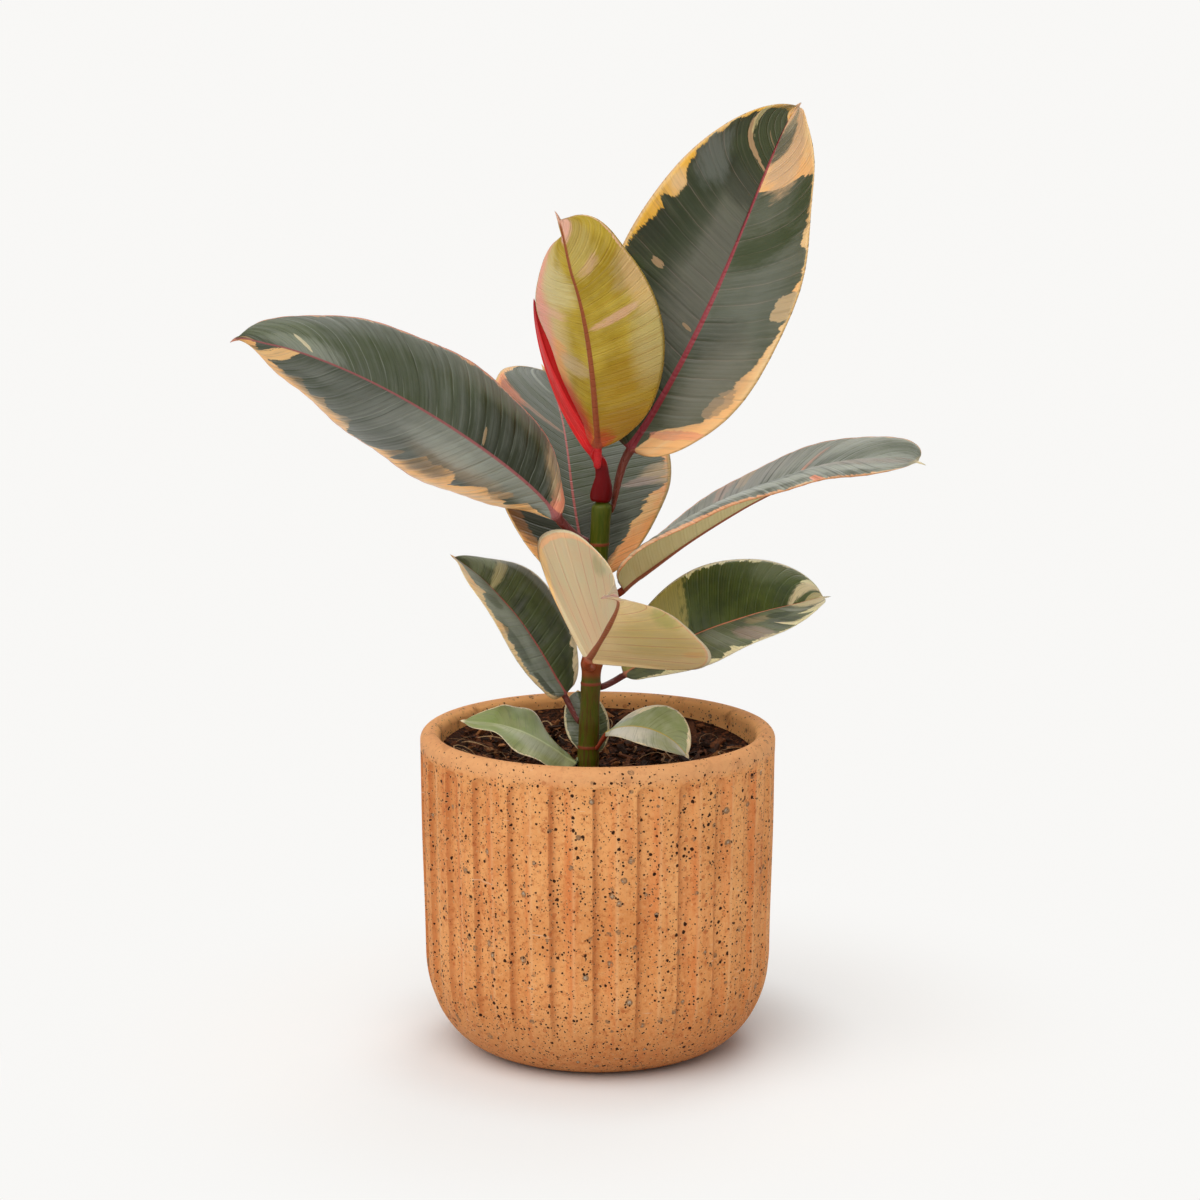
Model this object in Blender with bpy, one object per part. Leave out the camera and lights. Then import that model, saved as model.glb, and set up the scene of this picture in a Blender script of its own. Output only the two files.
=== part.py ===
"""A young variegated rubber plant (Ficus elastica) growing in a fluted, speckled clay pot.

Frame: origin at the centre of the pot's flat underside, +Z up, the plant's front towards -Y.
The sizes below are in millimetres; the meshes are made in metres.
"""

import math

import bmesh
import bpy
from mathutils import Matrix, Vector

MM = 0.001
SEAT_GAP = 0.3                # clearance that touching pieces keep
UP = Vector((0.0, 0.0, 1.0))

# Pot: a straight round wall on a small flat base, with a rounded lip
POT_HEIGHT = 145.0
POT_RADIUS_TOP = 80.0
POT_RADIUS_LOW = 78.2
POT_WAIST_HEIGHT = 86.0       # from here the wall leans outwards most
POT_BASE_RADIUS = 47.0
POT_BELLY_HEIGHT = 43.5       # where the rounded foot becomes the straight wall
POT_WALL = 8.8
POT_FLOOR = 10.0
LIP_RADIUS = POT_WALL / 2
CAVITY_RADIUS_TOP = POT_RADIUS_TOP - POT_WALL
CAVITY_RADIUS_LOW = 69.0
CAVITY_CORNER = 30.0
FLUTES = 26
FLUTE_DEPTH = 1.3
FLUTE_FIRST_ANGLE = math.radians(-88.2)
FLUTE_TOP = 134.0
FLUTE_BOTTOM = 12.0
FLUTE_FADE = 20.0             # how gently a flute dies away towards the foot
FLUTE_HEAD = 6.0              # height of its rounded head below the lip
COLUMNS_PER_FLUTE = 4

# Potting mix: a rough dish, lowest round the stem and banked up against the back of the pot
SOIL_CENTRE_HEIGHT = 125.0
SOIL_RISE = 9.0
SOIL_RISE_BACK = 4.5
SOIL_RISE_LEFT = 1.5
SOIL_COLUMNS = 48
SOCKET_DEPTH = 26.0
SOCKET_COLUMNS = 24

# Stem: one slightly leaning shoot with a ring at each leaf
STEM_FOOT = Vector((-4.4, 0.0, SOIL_CENTRE_HEIGHT - SOCKET_DEPTH + SEAT_GAP))
STEM_LINE = [(-4.4, 0, 128), (-3.6, 0, 165), (-0.6, 0, 212), (2.0, 0, 248)]
STEM_RADIUS = 4.3
STEM_FOOT_RADIUS = 4.75
STEM_FLARE = (130.0, 160.0)   # the heights between which it thins
STEM_STATIONS = 20

# Leaves. Every leaf has a round stalk that starts at the stem, and a thin blade along a midrib.
#   foot      where the stalk meets the stem: height on the stem, compass heading from +X
#   seat, leaving    in place of foot: where a stalk starts off the stem, and its direction
#   midrib    four control points of the midrib's curve, from the blade's base to its tip
#   drip      how far the drip tip hangs away from that curve
#   face, roll    the way the upper face looks, and how far it turns (degrees) at base and tip
#   half      the greatest width of the left and of the right half
#   outline   how blunt the blade is towards its base and towards its tip
#   left, right   for each half: (fold, curl) in degrees at the base, then at the tip
#   ends      how much of the way to the drip tip each half reaches, where one stops short
LEAF_THICKNESS = 0.9
LEAF_SIDES = 12
STALK_RINGS = 4
BLADE_RINGS = 17
STALK_LEAD = 0.8              # how far a stalk first runs straight out, in its own radii
STALK_TAIL = 0.4              # how much of it already points along the midrib
STALK_END = 0.08              # where along the midrib the round stalk has become a flat blade
RIB_SHARPNESS = 12            # how narrow the midrib stands under the blade
DRIP_START = 0.8              # where along the midrib the drip tip starts to hang
DRIP_TIP = 0.965              # where along the midrib the blade narrows to its drip tip
TIP_RADIUS = 0.35

LEAVES = {
    "leaf_young_top": dict(
        seat=(-0.1, -4.4, 265), leaving=(0, -1, 0), stalk=1.7,
        midrib=[(0.1, -5.9, 273.5), (-1.8, -17.8, 295.7), (-1.7, -27, 338.9), (-19.3, -21.9, 369)],
        drip=(1, 0.1, 9), face=(0, 1, 0.1), roll=(-10, 18), half=(35.7, 38.2), outline=(0.54, 0.42),
        left=((9, 26), (4, 20)), right=((43, 35), (51, 30)), ends=(1, 0.955)),
    "leaf_upper_right": dict(
        foot=(244.5, 20), stalk=2.0,
        midrib=[(14.4, 6.8, 270.1), (61.6, 22.8, 339.8), (77.2, 37.8, 408.3), (91.6, 63.6, 419.6)],
        drip=(0.6, -0.1, 1.3), face=(0, -1, 0.1), roll=(-5, -10), half=(46.7, 47.7), outline=(0.57, 1.02),
        left=((2, 0), (22, 22)), right=((24, 12), (43, 33))),
    "leaf_upper_left": dict(
        foot=(229.5, 178), stalk=2.1,
        midrib=[(-18, -1.5, 241.7), (-34.7, -8.7, 270.7), (-138.6, -31.8, 337.5), (-165.6, -13.2, 317.8)],
        drip=(5.3, 0.3, 2.7), face=(0, -0.6, 0.8), roll=(-51, -59), half=(53, 32.6), outline=(0.88, 1.24),
        left=((-29, -36), (-27, -42)), right=((0, -69), (-2, -58))),
    "leaf_back": dict(
        foot=(202.0, 100), stalk=2.1,
        midrib=[(-3.5, 12.4, 209.4), (-16.5, 38.5, 251.7), (-10.2, 79, 270.8), (-26.8, 116, 295.6)],
        drip=(0, 0, 0), face=(0, -1, 0.4), roll=(11, 29), half=(42.3, 47.4), outline=(0.46, 0.42),
        left=((11, 4), (18, 4)), right=((19, 3), (8, -10))),
    "leaf_right_long": dict(
        foot=(204.5, -5), stalk=1.7,
        midrib=[(11.4, -6.7, 209.3), (46.2, -0.4, 235.2), (107.9, 2.1, 279), (141.3, -28.6, 267.9)],
        drip=(1.4, 0.7, 0.7), face=(0, -0.2, 1), roll=(-27, -3), half=(34.5, 34.4), outline=(0.28, 0.50),
        left=((18, 0), (19, 0)), right=((73, -92), (8, -51))),
    "leaf_right_lower": dict(
        foot=(163.5, 15), stalk=1.5,
        midrib=[(12.1, 10.9, 167.1), (43, 18.4, 187.4), (75.8, 24.1, 194.8), (106.9, 29.6, 198.4)],
        drip=(-0.9, 0.1, 1.1), face=(0, -0.6, 0.8), roll=(3, -32), half=(30.1, 30.8), outline=(0.65, 0.44),
        left=((46, 0), (26, 0)), right=((14, 0), (8, 0))),
    "leaf_left_lower": dict(
        foot=(147.5, 160), stalk=1.4,
        midrib=[(-15.1, 11.2, 157.7), (-38.1, 7.8, 204), (-52.4, 18.9, 207.6), (-64.6, 23.9, 219.1)],
        drip=(-2, -0.2, 0.8), face=(0, -0.8, 0.6), roll=(17, 43), half=(26.6, 25), outline=(0.47, 0.57),
        left=((26, 0), (28, 0)), right=((19, -24), (18, -22))),
    "leaf_front": dict(
        foot=(174.0, 268), stalk=2.0,
        midrib=[(-3.8, -22.3, 181.2), (-3.2, -23.2, 182.3), (17.3, -50.9, 218.7), (5.2, -120.2, 226.7)],
        drip=(-3.7, -4, 1.1), face=(0.5, 0.1, 1), roll=(-10, -11), half=(53.8, 60.8), outline=(0.44, 1.51),
        left=((34, 0), (31, 0)), right=((37, 0), (38, 0))),
    "leaf_small_left": dict(
        foot=(130.5, 200), stalk=1.3,
        midrib=[(-13, -3, 130.2), (-33.3, -6.9, 147.5), (-41.1, -6.9, 146.4), (-53.3, -4.4, 149.3)],
        drip=(-8.5, -0.3, 0.1), face=(0, -0.6, 0.8), roll=(22, 9), half=(17.7, 18.8), outline=(0.48, 0.79),
        left=((-6, 0), (24, 0)), right=((-19, 0), (22, 0))),
    "leaf_small_right": dict(
        foot=(136.5, 318), stalk=1.2,
        midrib=[(4.3, -5.2, 143.4), (10.7, -9.7, 150.1), (31.6, -17.5, 150.5), (40.4, -22.9, 136.1)],
        drip=(0.1, -0.1, -0.1), face=(0, -0.5, 0.8), roll=(-24, 10), half=(16.2, 14.1), outline=(0.76, 0.81),
        left=((-1, 0), (18, 0)), right=((6, 0), (15, 0))),
    "leaf_small_back": dict(
        foot=(128.8, 92), stalk=1.2,
        midrib=[(-4.4, 10.5, 131), (-2, 13.5, 142), (-9, 16, 154), (-9, 15, 159)],
        drip=(0, 0, 0), face=(0, -1, 0.1), roll=(2, -1), half=(10, 10), outline=(0.42, 0.64),
        left=((11, 0), (10, 0)), right=((10, 0), (10, 0))),
}

# Bud sheath: the swollen bud on top of the stem, and the boat-shaped sheath that opened from it
SHEATH = dict(
    seat=(1.2, 0, 248 + SEAT_GAP), leaving=(0.072, 0, 0.997), stalk=2.9, swell=1.8,
    midrib=[(0, 1, 267), (-10.5, 18, 275), (-27.5, 31, 305), (-28.5, 32, 335)],
    drip=(0, 0, 0), face=(1, -0.6, 0), roll=(0, 0), half=(8, 8), outline=(0.7, 0.9),
    left=((35, 40), (30, 30)), right=((35, 40), (30, 30)))

# Colours: red, green, blue in linear light, then roughness
FINISHES = {
    "clay": ((0.60, 0.30, 0.13), 0.85),
    "potting_mix": ((0.035, 0.018, 0.010), 0.95),
    "green_stem": ((0.10, 0.13, 0.02), 0.50),
    "red_sheath": ((0.45, 0.02, 0.03), 0.35),
    "young_leaf": ((0.52, 0.42, 0.10), 0.40),
    "old_leaf": ((0.07, 0.10, 0.07), 0.35),
}


def bezier(points, t):
    """The point at t (0 to 1) on a cubic curve with four control points."""
    a, b, c, d = (Vector(p) for p in points)
    s = 1.0 - t
    return a * s ** 3 + b * (3 * s * s * t) + c * (3 * s * t * t) + d * t ** 3


def bezier_direction(points, t):
    """The unit direction in which that curve runs at t."""
    a, b, c, d = (Vector(p) for p in points)
    s = 1.0 - t
    return ((b - a) * (s * s) + (c - b) * (2 * s * t) + (d - c) * (t * t)).normalized()


def smooth_step(low, high, value):
    """0 below low, 1 above high, and an even S between them."""
    x = min(max((value - low) / (high - low), 0.0), 1.0)
    return x * x * (3 - 2 * x)


def material(finish):
    """The Principled material of one finish."""
    colour, roughness = FINISHES[finish]
    made = bpy.data.materials.new(finish)
    made.use_nodes = True
    shader = made.node_tree.nodes["Principled BSDF"]
    shader.inputs["Base Color"].default_value = (*colour, 1.0)
    shader.inputs["Roughness"].default_value = roughness
    shader.inputs["Metallic"].default_value = 0.0
    return made


def add_object(name, bm, finish, collection):
    """Turn a bmesh in millimetres into a smooth named object in metres."""
    bmesh.ops.scale(bm, vec=(MM, MM, MM), verts=bm.verts)
    bmesh.ops.recalc_face_normals(bm, faces=bm.faces)
    if bm.calc_volume(signed=True) < 0:
        bmesh.ops.reverse_faces(bm, faces=bm.faces)
    mesh = bpy.data.meshes.new(name)
    bm.to_mesh(mesh)
    bm.free()
    mesh.shade_smooth()
    mesh.materials.append(material(finish))
    made = bpy.data.objects.new(name, mesh)
    collection.objects.link(made)
    return made


def turned_body(profile, columns):
    """A closed body of revolution about Z from a profile that starts and ends on the axis."""
    bm = bmesh.new()
    verts = [bm.verts.new((r, 0.0, z)) for r, z in profile]
    edges = [bm.edges.new(pair) for pair in zip(verts, verts[1:])]
    bmesh.ops.spin(bm, geom=verts + edges, axis=UP, cent=(0, 0, 0), angle=math.tau,
                   steps=columns, use_merge=True, use_duplicate=False)
    bmesh.ops.remove_doubles(bm, verts=bm.verts, dist=0.01)
    return bm


def arc(centre, radii, start, end, steps):
    """Points on a quarter or half of an ellipse, from the start to the end angle in degrees."""
    angles = [math.radians(start + (end - start) * i / steps) for i in range(steps + 1)]
    return [(centre[0] + radii[0] * math.cos(a), centre[1] + radii[1] * math.sin(a)) for a in angles]


def pot_profile():
    """The pot's section: underside, rounded foot, wall, lip, then down the inside to the floor."""
    foot_width = POT_RADIUS_LOW - POT_BASE_RADIUS
    lip_height = POT_HEIGHT - LIP_RADIUS
    lip_middle = POT_RADIUS_TOP - LIP_RADIUS
    outside = arc((POT_BASE_RADIUS, POT_BELLY_HEIGHT), (foot_width, POT_BELLY_HEIGHT), -90, 0, 6)
    wall = [(POT_RADIUS_LOW + (POT_RADIUS_TOP - POT_RADIUS_LOW) * k, z)
            for k, z in ((0.5, POT_WAIST_HEIGHT), (0.9, FLUTE_TOP - FLUTE_HEAD),
                         (0.97, FLUTE_TOP - 2), (1.0, FLUTE_TOP + 1))]
    lip = arc((lip_middle, lip_height), (LIP_RADIUS, LIP_RADIUS), 0, 180, 6)
    inside_corner = arc((CAVITY_RADIUS_LOW - CAVITY_CORNER, POT_FLOOR + CAVITY_CORNER),
                        (CAVITY_CORNER, CAVITY_CORNER), 0, -90, 4)
    return [(0, 0)] + outside + wall + lip + inside_corner + [(0, POT_FLOOR)]


def flute_depth(angle, height):
    """How far the pot's outer wall is pressed in at this compass angle and height."""
    across = (angle - FLUTE_FIRST_ANGLE) * FLUTES
    groove = 0.5 + 0.5 * math.cos(across)
    lower_fade = smooth_step(FLUTE_BOTTOM, FLUTE_BOTTOM + FLUTE_FADE, height)
    upper_fade = 1.0 - smooth_step(FLUTE_TOP - FLUTE_HEAD, FLUTE_TOP, height)
    return FLUTE_DEPTH * groove * lower_fade * upper_fade


def make_pot(collection):
    """The fluted pot, as one closed wall."""
    bm = turned_body(pot_profile(), FLUTES * COLUMNS_PER_FLUTE)
    first_groove = Matrix.Rotation(FLUTE_FIRST_ANGLE, 3, "Z")
    bmesh.ops.rotate(bm, verts=bm.verts, cent=(0, 0, 0), matrix=first_groove)
    for vert in bm.verts:
        radius = math.hypot(vert.co.x, vert.co.y)
        is_outer_wall = radius > CAVITY_RADIUS_TOP + 1
        is_foot = vert.co.z < POT_FLOOR - 1 and radius > 1
        if is_outer_wall or is_foot:
            pressed = flute_depth(math.atan2(vert.co.y, vert.co.x), vert.co.z)
            vert.co.x *= (radius - pressed) / radius
            vert.co.y *= (radius - pressed) / radius
    return add_object("pot", bm, "clay", collection)


def soil_height(x, y):
    """The height of the potting mix: a dish that climbs most steeply towards the back."""
    radius = math.hypot(x, y)
    if radius < 1.0:
        return SOIL_CENTRE_HEIGHT
    rise = SOIL_RISE + SOIL_RISE_BACK * y / radius - SOIL_RISE_LEFT * x / radius
    return SOIL_CENTRE_HEIGHT + rise * (radius / CAVITY_RADIUS_TOP) ** 2


def soil_profile():
    """The potting mix's section before its top is shaped: it fills the pot's cavity."""
    corner = CAVITY_CORNER - SEAT_GAP
    low_radius = CAVITY_RADIUS_LOW - SEAT_GAP
    foot = arc((low_radius - corner, POT_FLOOR + SEAT_GAP + corner), (corner, corner), -90, 0, 4)
    straight_height = POT_HEIGHT - LIP_RADIUS - POT_FLOOR - CAVITY_CORNER
    wall_slope = (CAVITY_RADIUS_TOP - CAVITY_RADIUS_LOW) / straight_height
    edge_radius = low_radius + wall_slope * (SOIL_CENTRE_HEIGHT - POT_FLOOR - CAVITY_CORNER)
    top = [(edge_radius * k, SOIL_CENTRE_HEIGHT) for k in (1.0, 0.8, 0.6, 0.4, 0.2, 0.0)]
    return [(0, POT_FLOOR + SEAT_GAP)] + foot + top


def make_soil(collection, cutters):
    """The potting mix, with a socket for the foot of the stem."""
    bm = turned_body(soil_profile(), SOIL_COLUMNS)
    for vert in bm.verts:
        if vert.co.z > SOIL_CENTRE_HEIGHT - 0.1:
            vert.co.z = soil_height(vert.co.x, vert.co.y)
    soil = add_object("potting_mix", bm, "potting_mix", collection)

    cutter_mesh = bmesh.new()
    radius = STEM_FOOT_RADIUS + SEAT_GAP
    height = SOCKET_DEPTH + SOIL_RISE
    bmesh.ops.create_cone(cutter_mesh, cap_ends=True, segments=SOCKET_COLUMNS,
                          radius1=radius, radius2=radius, depth=height)
    middle = SOIL_CENTRE_HEIGHT - SOCKET_DEPTH + height / 2
    bmesh.ops.translate(cutter_mesh, vec=(STEM_FOOT.x, STEM_FOOT.y, middle), verts=cutter_mesh.verts)
    cutter = add_object("stem_socket", cutter_mesh, "potting_mix", cutters)
    cutter.hide_render = True
    cutter.display_type = "WIRE"
    socket = soil.modifiers.new("socket", "BOOLEAN")
    socket.object = cutter
    socket.operation = "DIFFERENCE"
    socket.solver = "EXACT"
    return soil


def stem_centre(height):
    """The stem's centre line at this height, found by halving the curve's parameter range."""
    low, high = 0.0, 1.0
    for _ in range(30):
        middle = (low + high) / 2
        if bezier(STEM_LINE, middle).z < height:
            low = middle
        else:
            high = middle
    return bezier(STEM_LINE, low)


def stem_radius(height):
    """The stem is stoutest where it leaves the mix."""
    return STEM_FOOT_RADIUS + (STEM_RADIUS - STEM_FOOT_RADIUS) * smooth_step(*STEM_FLARE, height)


def make_stem(collection):
    """The stem: a tube along its line, down into the socket, made solid with filled ends."""
    curve = bpy.data.curves.new("stem", "CURVE")
    curve.dimensions = "3D"
    curve.bevel_depth = MM
    curve.bevel_resolution = 4
    curve.use_fill_caps = True
    stations = [STEM_FOOT] + [bezier(STEM_LINE, i / STEM_STATIONS) for i in range(STEM_STATIONS + 1)]
    line = curve.splines.new("POLY")
    line.points.add(len(stations) - 1)
    for point, place in zip(line.points, stations):
        point.co = (*(place * MM), 1.0)
        point.radius = stem_radius(place.z)
    curve.materials.append(material("green_stem"))
    stem = bpy.data.objects.new("stem", curve)
    collection.objects.link(stem)
    return stem


def half_width(leaf, u, right):
    """The width of the blade's left or right half at u along the midrib."""
    toward_base, toward_tip = leaf["outline"]
    x = min(u / (DRIP_TIP * leaf.get("ends", (1, 1))[right]), 1.0)
    widest = toward_base / (toward_base + toward_tip)
    greatest = widest ** toward_base * (1 - widest) ** toward_tip
    return leaf["half"][right] * x ** toward_base * (1 - x) ** toward_tip / greatest


def blade_frame(leaf, u):
    """The midrib's point at u, the sideways direction there and the way the upper face looks."""
    along = bezier_direction(leaf["midrib"], u)
    face = Vector(leaf["face"])
    face = (face - along * face.dot(along)).normalized()
    side = along.cross(face)
    roll = math.radians(leaf["roll"][0] + (leaf["roll"][1] - leaf["roll"][0]) * u)
    turned_face = face * math.cos(roll) + side * math.sin(roll)
    turned_side = side * math.cos(roll) - face * math.sin(roll)
    hang = Vector(leaf["drip"]) * smooth_step(DRIP_START, 1.0, u)
    return bezier(leaf["midrib"], u) + hang, turned_side, turned_face


def blade_offset(leaf, u, v):
    """Where the blade lies at v (-1 left margin, 1 right margin), as side and face distances,
    with the direction of its upper surface there. Each half folds at the midrib and then curls."""
    (fold_base, curl_base), (fold_tip, curl_tip) = leaf["left"] if v < 0 else leaf["right"]
    fold = math.radians(fold_base + (fold_tip - fold_base) * u)
    curl = math.radians(curl_base + (curl_tip - curl_base) * u) or 0.001
    turn = fold + curl * abs(v)
    width = half_width(leaf, u, v >= 0)
    hand = -1.0 if v < 0 else 1.0
    sideways = hand * width * (math.sin(turn) - math.sin(fold)) / curl
    raised = width * (math.cos(fold) - math.cos(turn)) / curl
    return sideways, raised, -hand * math.sin(turn), math.cos(turn)


def stalk_start(leaf):
    """The stalk's first ring: its centre, the way it leaves, and the way its upper side looks.
    It stands upright against the stem, or sits where the leaf says."""
    if "seat" in leaf:
        leaving = Vector(leaf["leaving"]).normalized()
        face = Vector(leaf["face"])
        return Vector(leaf["seat"]), leaving, (face - leaving * face.dot(leaving)).normalized()
    height, heading = leaf["foot"]
    outward = Vector((math.cos(math.radians(heading)), math.sin(math.radians(heading)), 0.0))
    return stem_centre(height) + outward * (stem_radius(height) + SEAT_GAP), outward, UP


def stalk_frame(leaf, t):
    """The stalk's centre at t, with the same two directions, easing from the foot to the blade."""
    base, base_side, base_face = blade_frame(leaf, 0.0)
    along = bezier_direction(leaf["midrib"], 0.0)
    foot, leaving, foot_face = stalk_start(leaf)
    length = (base - foot).length
    lead = leaving * (STALK_LEAD * leaf["stalk"])
    path = [foot, foot + lead, base - along * (length * STALK_TAIL), base]
    foot_side = leaving.cross(foot_face)
    side = foot_side.lerp(base_side, t).normalized()
    face = foot_face.lerp(base_face, t).normalized()
    return bezier(path, t), side, face


def swelling(leaf, t):
    """How much stouter a bud is than its stalk at t: most near its foot, nothing at the blade."""
    return leaf.get("swell", 0.0) * math.sin(math.pi * min(0.25 + 1.25 * t, 1.0))


def leaf_vertex(leaf, ring, angle):
    """Where a point of the leaf's skin goes: a ring of the stalk, or of the blade."""
    across = math.cos(angle)
    through = math.sin(angle)
    stalk = leaf["stalk"]
    if ring < STALK_RINGS:
        t = ring / STALK_RINGS
        centre, side, face = stalk_frame(leaf, t)
        radius = stalk + swelling(leaf, t)
        return centre + (side * across + face * through) * radius
    u = 0.5 - 0.5 * math.cos(math.pi * (ring - STALK_RINGS) / (BLADE_RINGS - 1))
    centre, side, face = blade_frame(leaf, u)
    sideways, raised, lean_side, lean_face = blade_offset(leaf, u, across)
    round_part = (1.0 - smooth_step(0.0, STALK_END, u)) * stalk
    rib = (1.0 - u) * stalk * max(0.0, -through) ** RIB_SHARPNESS
    round_part += TIP_RADIUS
    thickness = max(LEAF_THICKNESS / 2 * (1 - u ** 8), round_part)
    upward = side * lean_side + face * lean_face
    skin = upward * (through * thickness - rib)
    return centre + side * (sideways + round_part * across) + face * raised + skin


def make_leaf(name, leaf, finish, collection):
    """One leaf grown as one piece: a closed tube pressed flat into a blade beyond its stalk."""
    rings = STALK_RINGS + BLADE_RINGS
    bm = bmesh.new()
    bmesh.ops.create_cone(bm, cap_ends=True, segments=LEAF_SIDES, radius1=1, radius2=1, depth=rings - 1)
    lengthwise = [edge for edge in bm.edges if abs(edge.verts[0].co.z - edge.verts[1].co.z) > 1]
    bmesh.ops.subdivide_edges(bm, edges=lengthwise, cuts=rings - 2)
    for vert in bm.verts:
        ring = round(vert.co.z + (rings - 1) / 2)
        angle = math.atan2(vert.co.y, vert.co.x)
        vert.co = leaf_vertex(leaf, ring, angle)
    return add_object(name, bm, finish, collection)


def remove_everything():
    """Empty the file of objects."""
    for thing in list(bpy.data.objects):
        bpy.data.objects.remove(thing, do_unlink=True)


def main():
    remove_everything()
    parts = bpy.data.collections.new("potted_rubber_plant")
    cutters = bpy.data.collections.new("cutters")
    for collection in (parts, cutters):
        bpy.context.scene.collection.children.link(collection)

    make_pot(parts)
    make_soil(parts, cutters)
    make_stem(parts)
    make_leaf("bud_sheath", SHEATH, "red_sheath", parts)
    for name, leaf in LEAVES.items():
        make_leaf(name, leaf, "young_leaf" if name == "leaf_young_top" else "old_leaf", parts)


main()
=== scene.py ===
# %% [markdown]
# # A variegated rubber plant in a fluted clay pot
#
# A young Ficus elastica with eleven leaves and a closed bud stands in a clay pot of bark and
# fibre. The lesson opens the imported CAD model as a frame, sets up a camera and a studio, and
# makes each real piece with its own finish, to stand in for a CAD node.

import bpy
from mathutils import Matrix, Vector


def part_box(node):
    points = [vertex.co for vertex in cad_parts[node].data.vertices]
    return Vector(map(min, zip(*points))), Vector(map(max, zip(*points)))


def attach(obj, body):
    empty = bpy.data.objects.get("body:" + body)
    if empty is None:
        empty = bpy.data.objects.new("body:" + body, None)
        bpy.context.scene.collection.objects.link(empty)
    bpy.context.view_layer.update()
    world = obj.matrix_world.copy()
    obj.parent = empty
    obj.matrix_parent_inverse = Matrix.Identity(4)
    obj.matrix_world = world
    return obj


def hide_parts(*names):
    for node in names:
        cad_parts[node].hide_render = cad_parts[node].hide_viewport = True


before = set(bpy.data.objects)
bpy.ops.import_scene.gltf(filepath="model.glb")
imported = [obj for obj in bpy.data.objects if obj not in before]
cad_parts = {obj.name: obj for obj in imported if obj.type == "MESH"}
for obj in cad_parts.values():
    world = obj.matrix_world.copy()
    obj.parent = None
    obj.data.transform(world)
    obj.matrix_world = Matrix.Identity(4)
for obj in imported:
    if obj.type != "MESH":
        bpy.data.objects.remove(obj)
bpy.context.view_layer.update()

# %% Tools, units and measures from the frame
import math
import random

import bmesh
import bpy
from mathutils import Matrix, Vector, noise

MM = 0.001
UP = Vector((0.0, 0.0, 1.0))
pot_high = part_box("pot")[1]
POT_RADIUS = pot_high.x / MM
POT_HEIGHT = pot_high.z / MM
print("pot radius and height", round(POT_RADIUS, 1), round(POT_HEIGHT, 1), "mm")


def put_in_scene(name, data):
    """Make a camera, lamp or mesh an object."""
    thing = bpy.data.objects.new(name, data)
    bpy.context.scene.collection.objects.link(thing)
    return thing


# %% [markdown]
# ## Camera
#
# A small plant is shown from a metre and a half away with a long lens, from just above the rim,
# so the pot's walls stay upright. The camera backs off from a point on the stem.

# %% Place the camera
CAMERA_ELEVATION = math.radians(10.8)
CAMERA_DISTANCE = 1489.5
CAMERA_TARGET = Vector((1.04, 0.0, 203.5))


def place_camera():
    """A 100 mm lens that looks along +Y and slightly down."""
    lens = bpy.data.cameras.new("camera")
    lens.lens = 100.0
    lens.sensor_width = 36.0
    camera = put_in_scene("camera", lens)
    back_off = Vector((0.0, -math.cos(CAMERA_ELEVATION), math.sin(CAMERA_ELEVATION)))
    camera.location = (CAMERA_TARGET + back_off * CAMERA_DISTANCE) * MM
    camera.rotation_euler = (math.pi / 2 - CAMERA_ELEVATION, 0.0, 0.0)
    bpy.context.scene.camera = camera
    return camera


print("camera at", [round(value, 3) for value in place_camera().location])

# %% [markdown]
# ## Mixing finishes
#
# A finish is a node tree that ends in one Principled shader. Written node by node it would bury
# the idea in plumbing, so a helper adds one node per call, and its outputs take plain signs.
# Colours are a paint chart's red, green and blue, 0 to 255, turned into linear light.

# %% Values that go through a finish
def tint(colour):
    """A paint chart colour as linear light; a mixed colour stays as it is."""
    if isinstance(colour, Value) or len(colour) == 4:
        return colour
    shares = [value / 255.0 for value in colour]
    return (*[x / 12.92 if x <= 0.04045 else ((x + 0.055) / 1.055) ** 2.4 for x in shares], 1.0)


def blend(amount, first, second):
    """The first number where the amount is 0, the second where it is 1."""
    return first + amount * (second - first)


class Value:
    """A node's output, on its way through a finish."""

    def __init__(self, finish, socket):
        self.finish, self.socket = finish, socket

    def __add__(self, other):
        return self.finish.maths("ADD", self, other)

    def __mul__(self, other):
        return self.finish.maths("MULTIPLY", self, other)

    def __sub__(self, other):
        return self.finish.maths("SUBTRACT", self, other)

    def __rsub__(self, other):
        return self.finish.maths("SUBTRACT", other, self)

    def __abs__(self):
        return self.finish.maths("ABSOLUTE", self)

    __radd__ = __add__
    __rmul__ = __mul__

    def other(self, output):
        """Another output of the same node."""
        return Value(self.finish, self.socket.node.outputs[output])

    def step(self, low, high):
        """An even ramp from 0 at low to 1 at high; it falls where low is the larger."""
        (low, start), (high, end) = sorted([(low, 0.0), (high, 1.0)])
        ramp = {"Value": self, "From Min": low, "From Max": high, "To Min": start, "To Max": end}
        return self.finish.node("MapRange", ramp, "Result", interpolation_type="SMOOTHSTEP")


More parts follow.
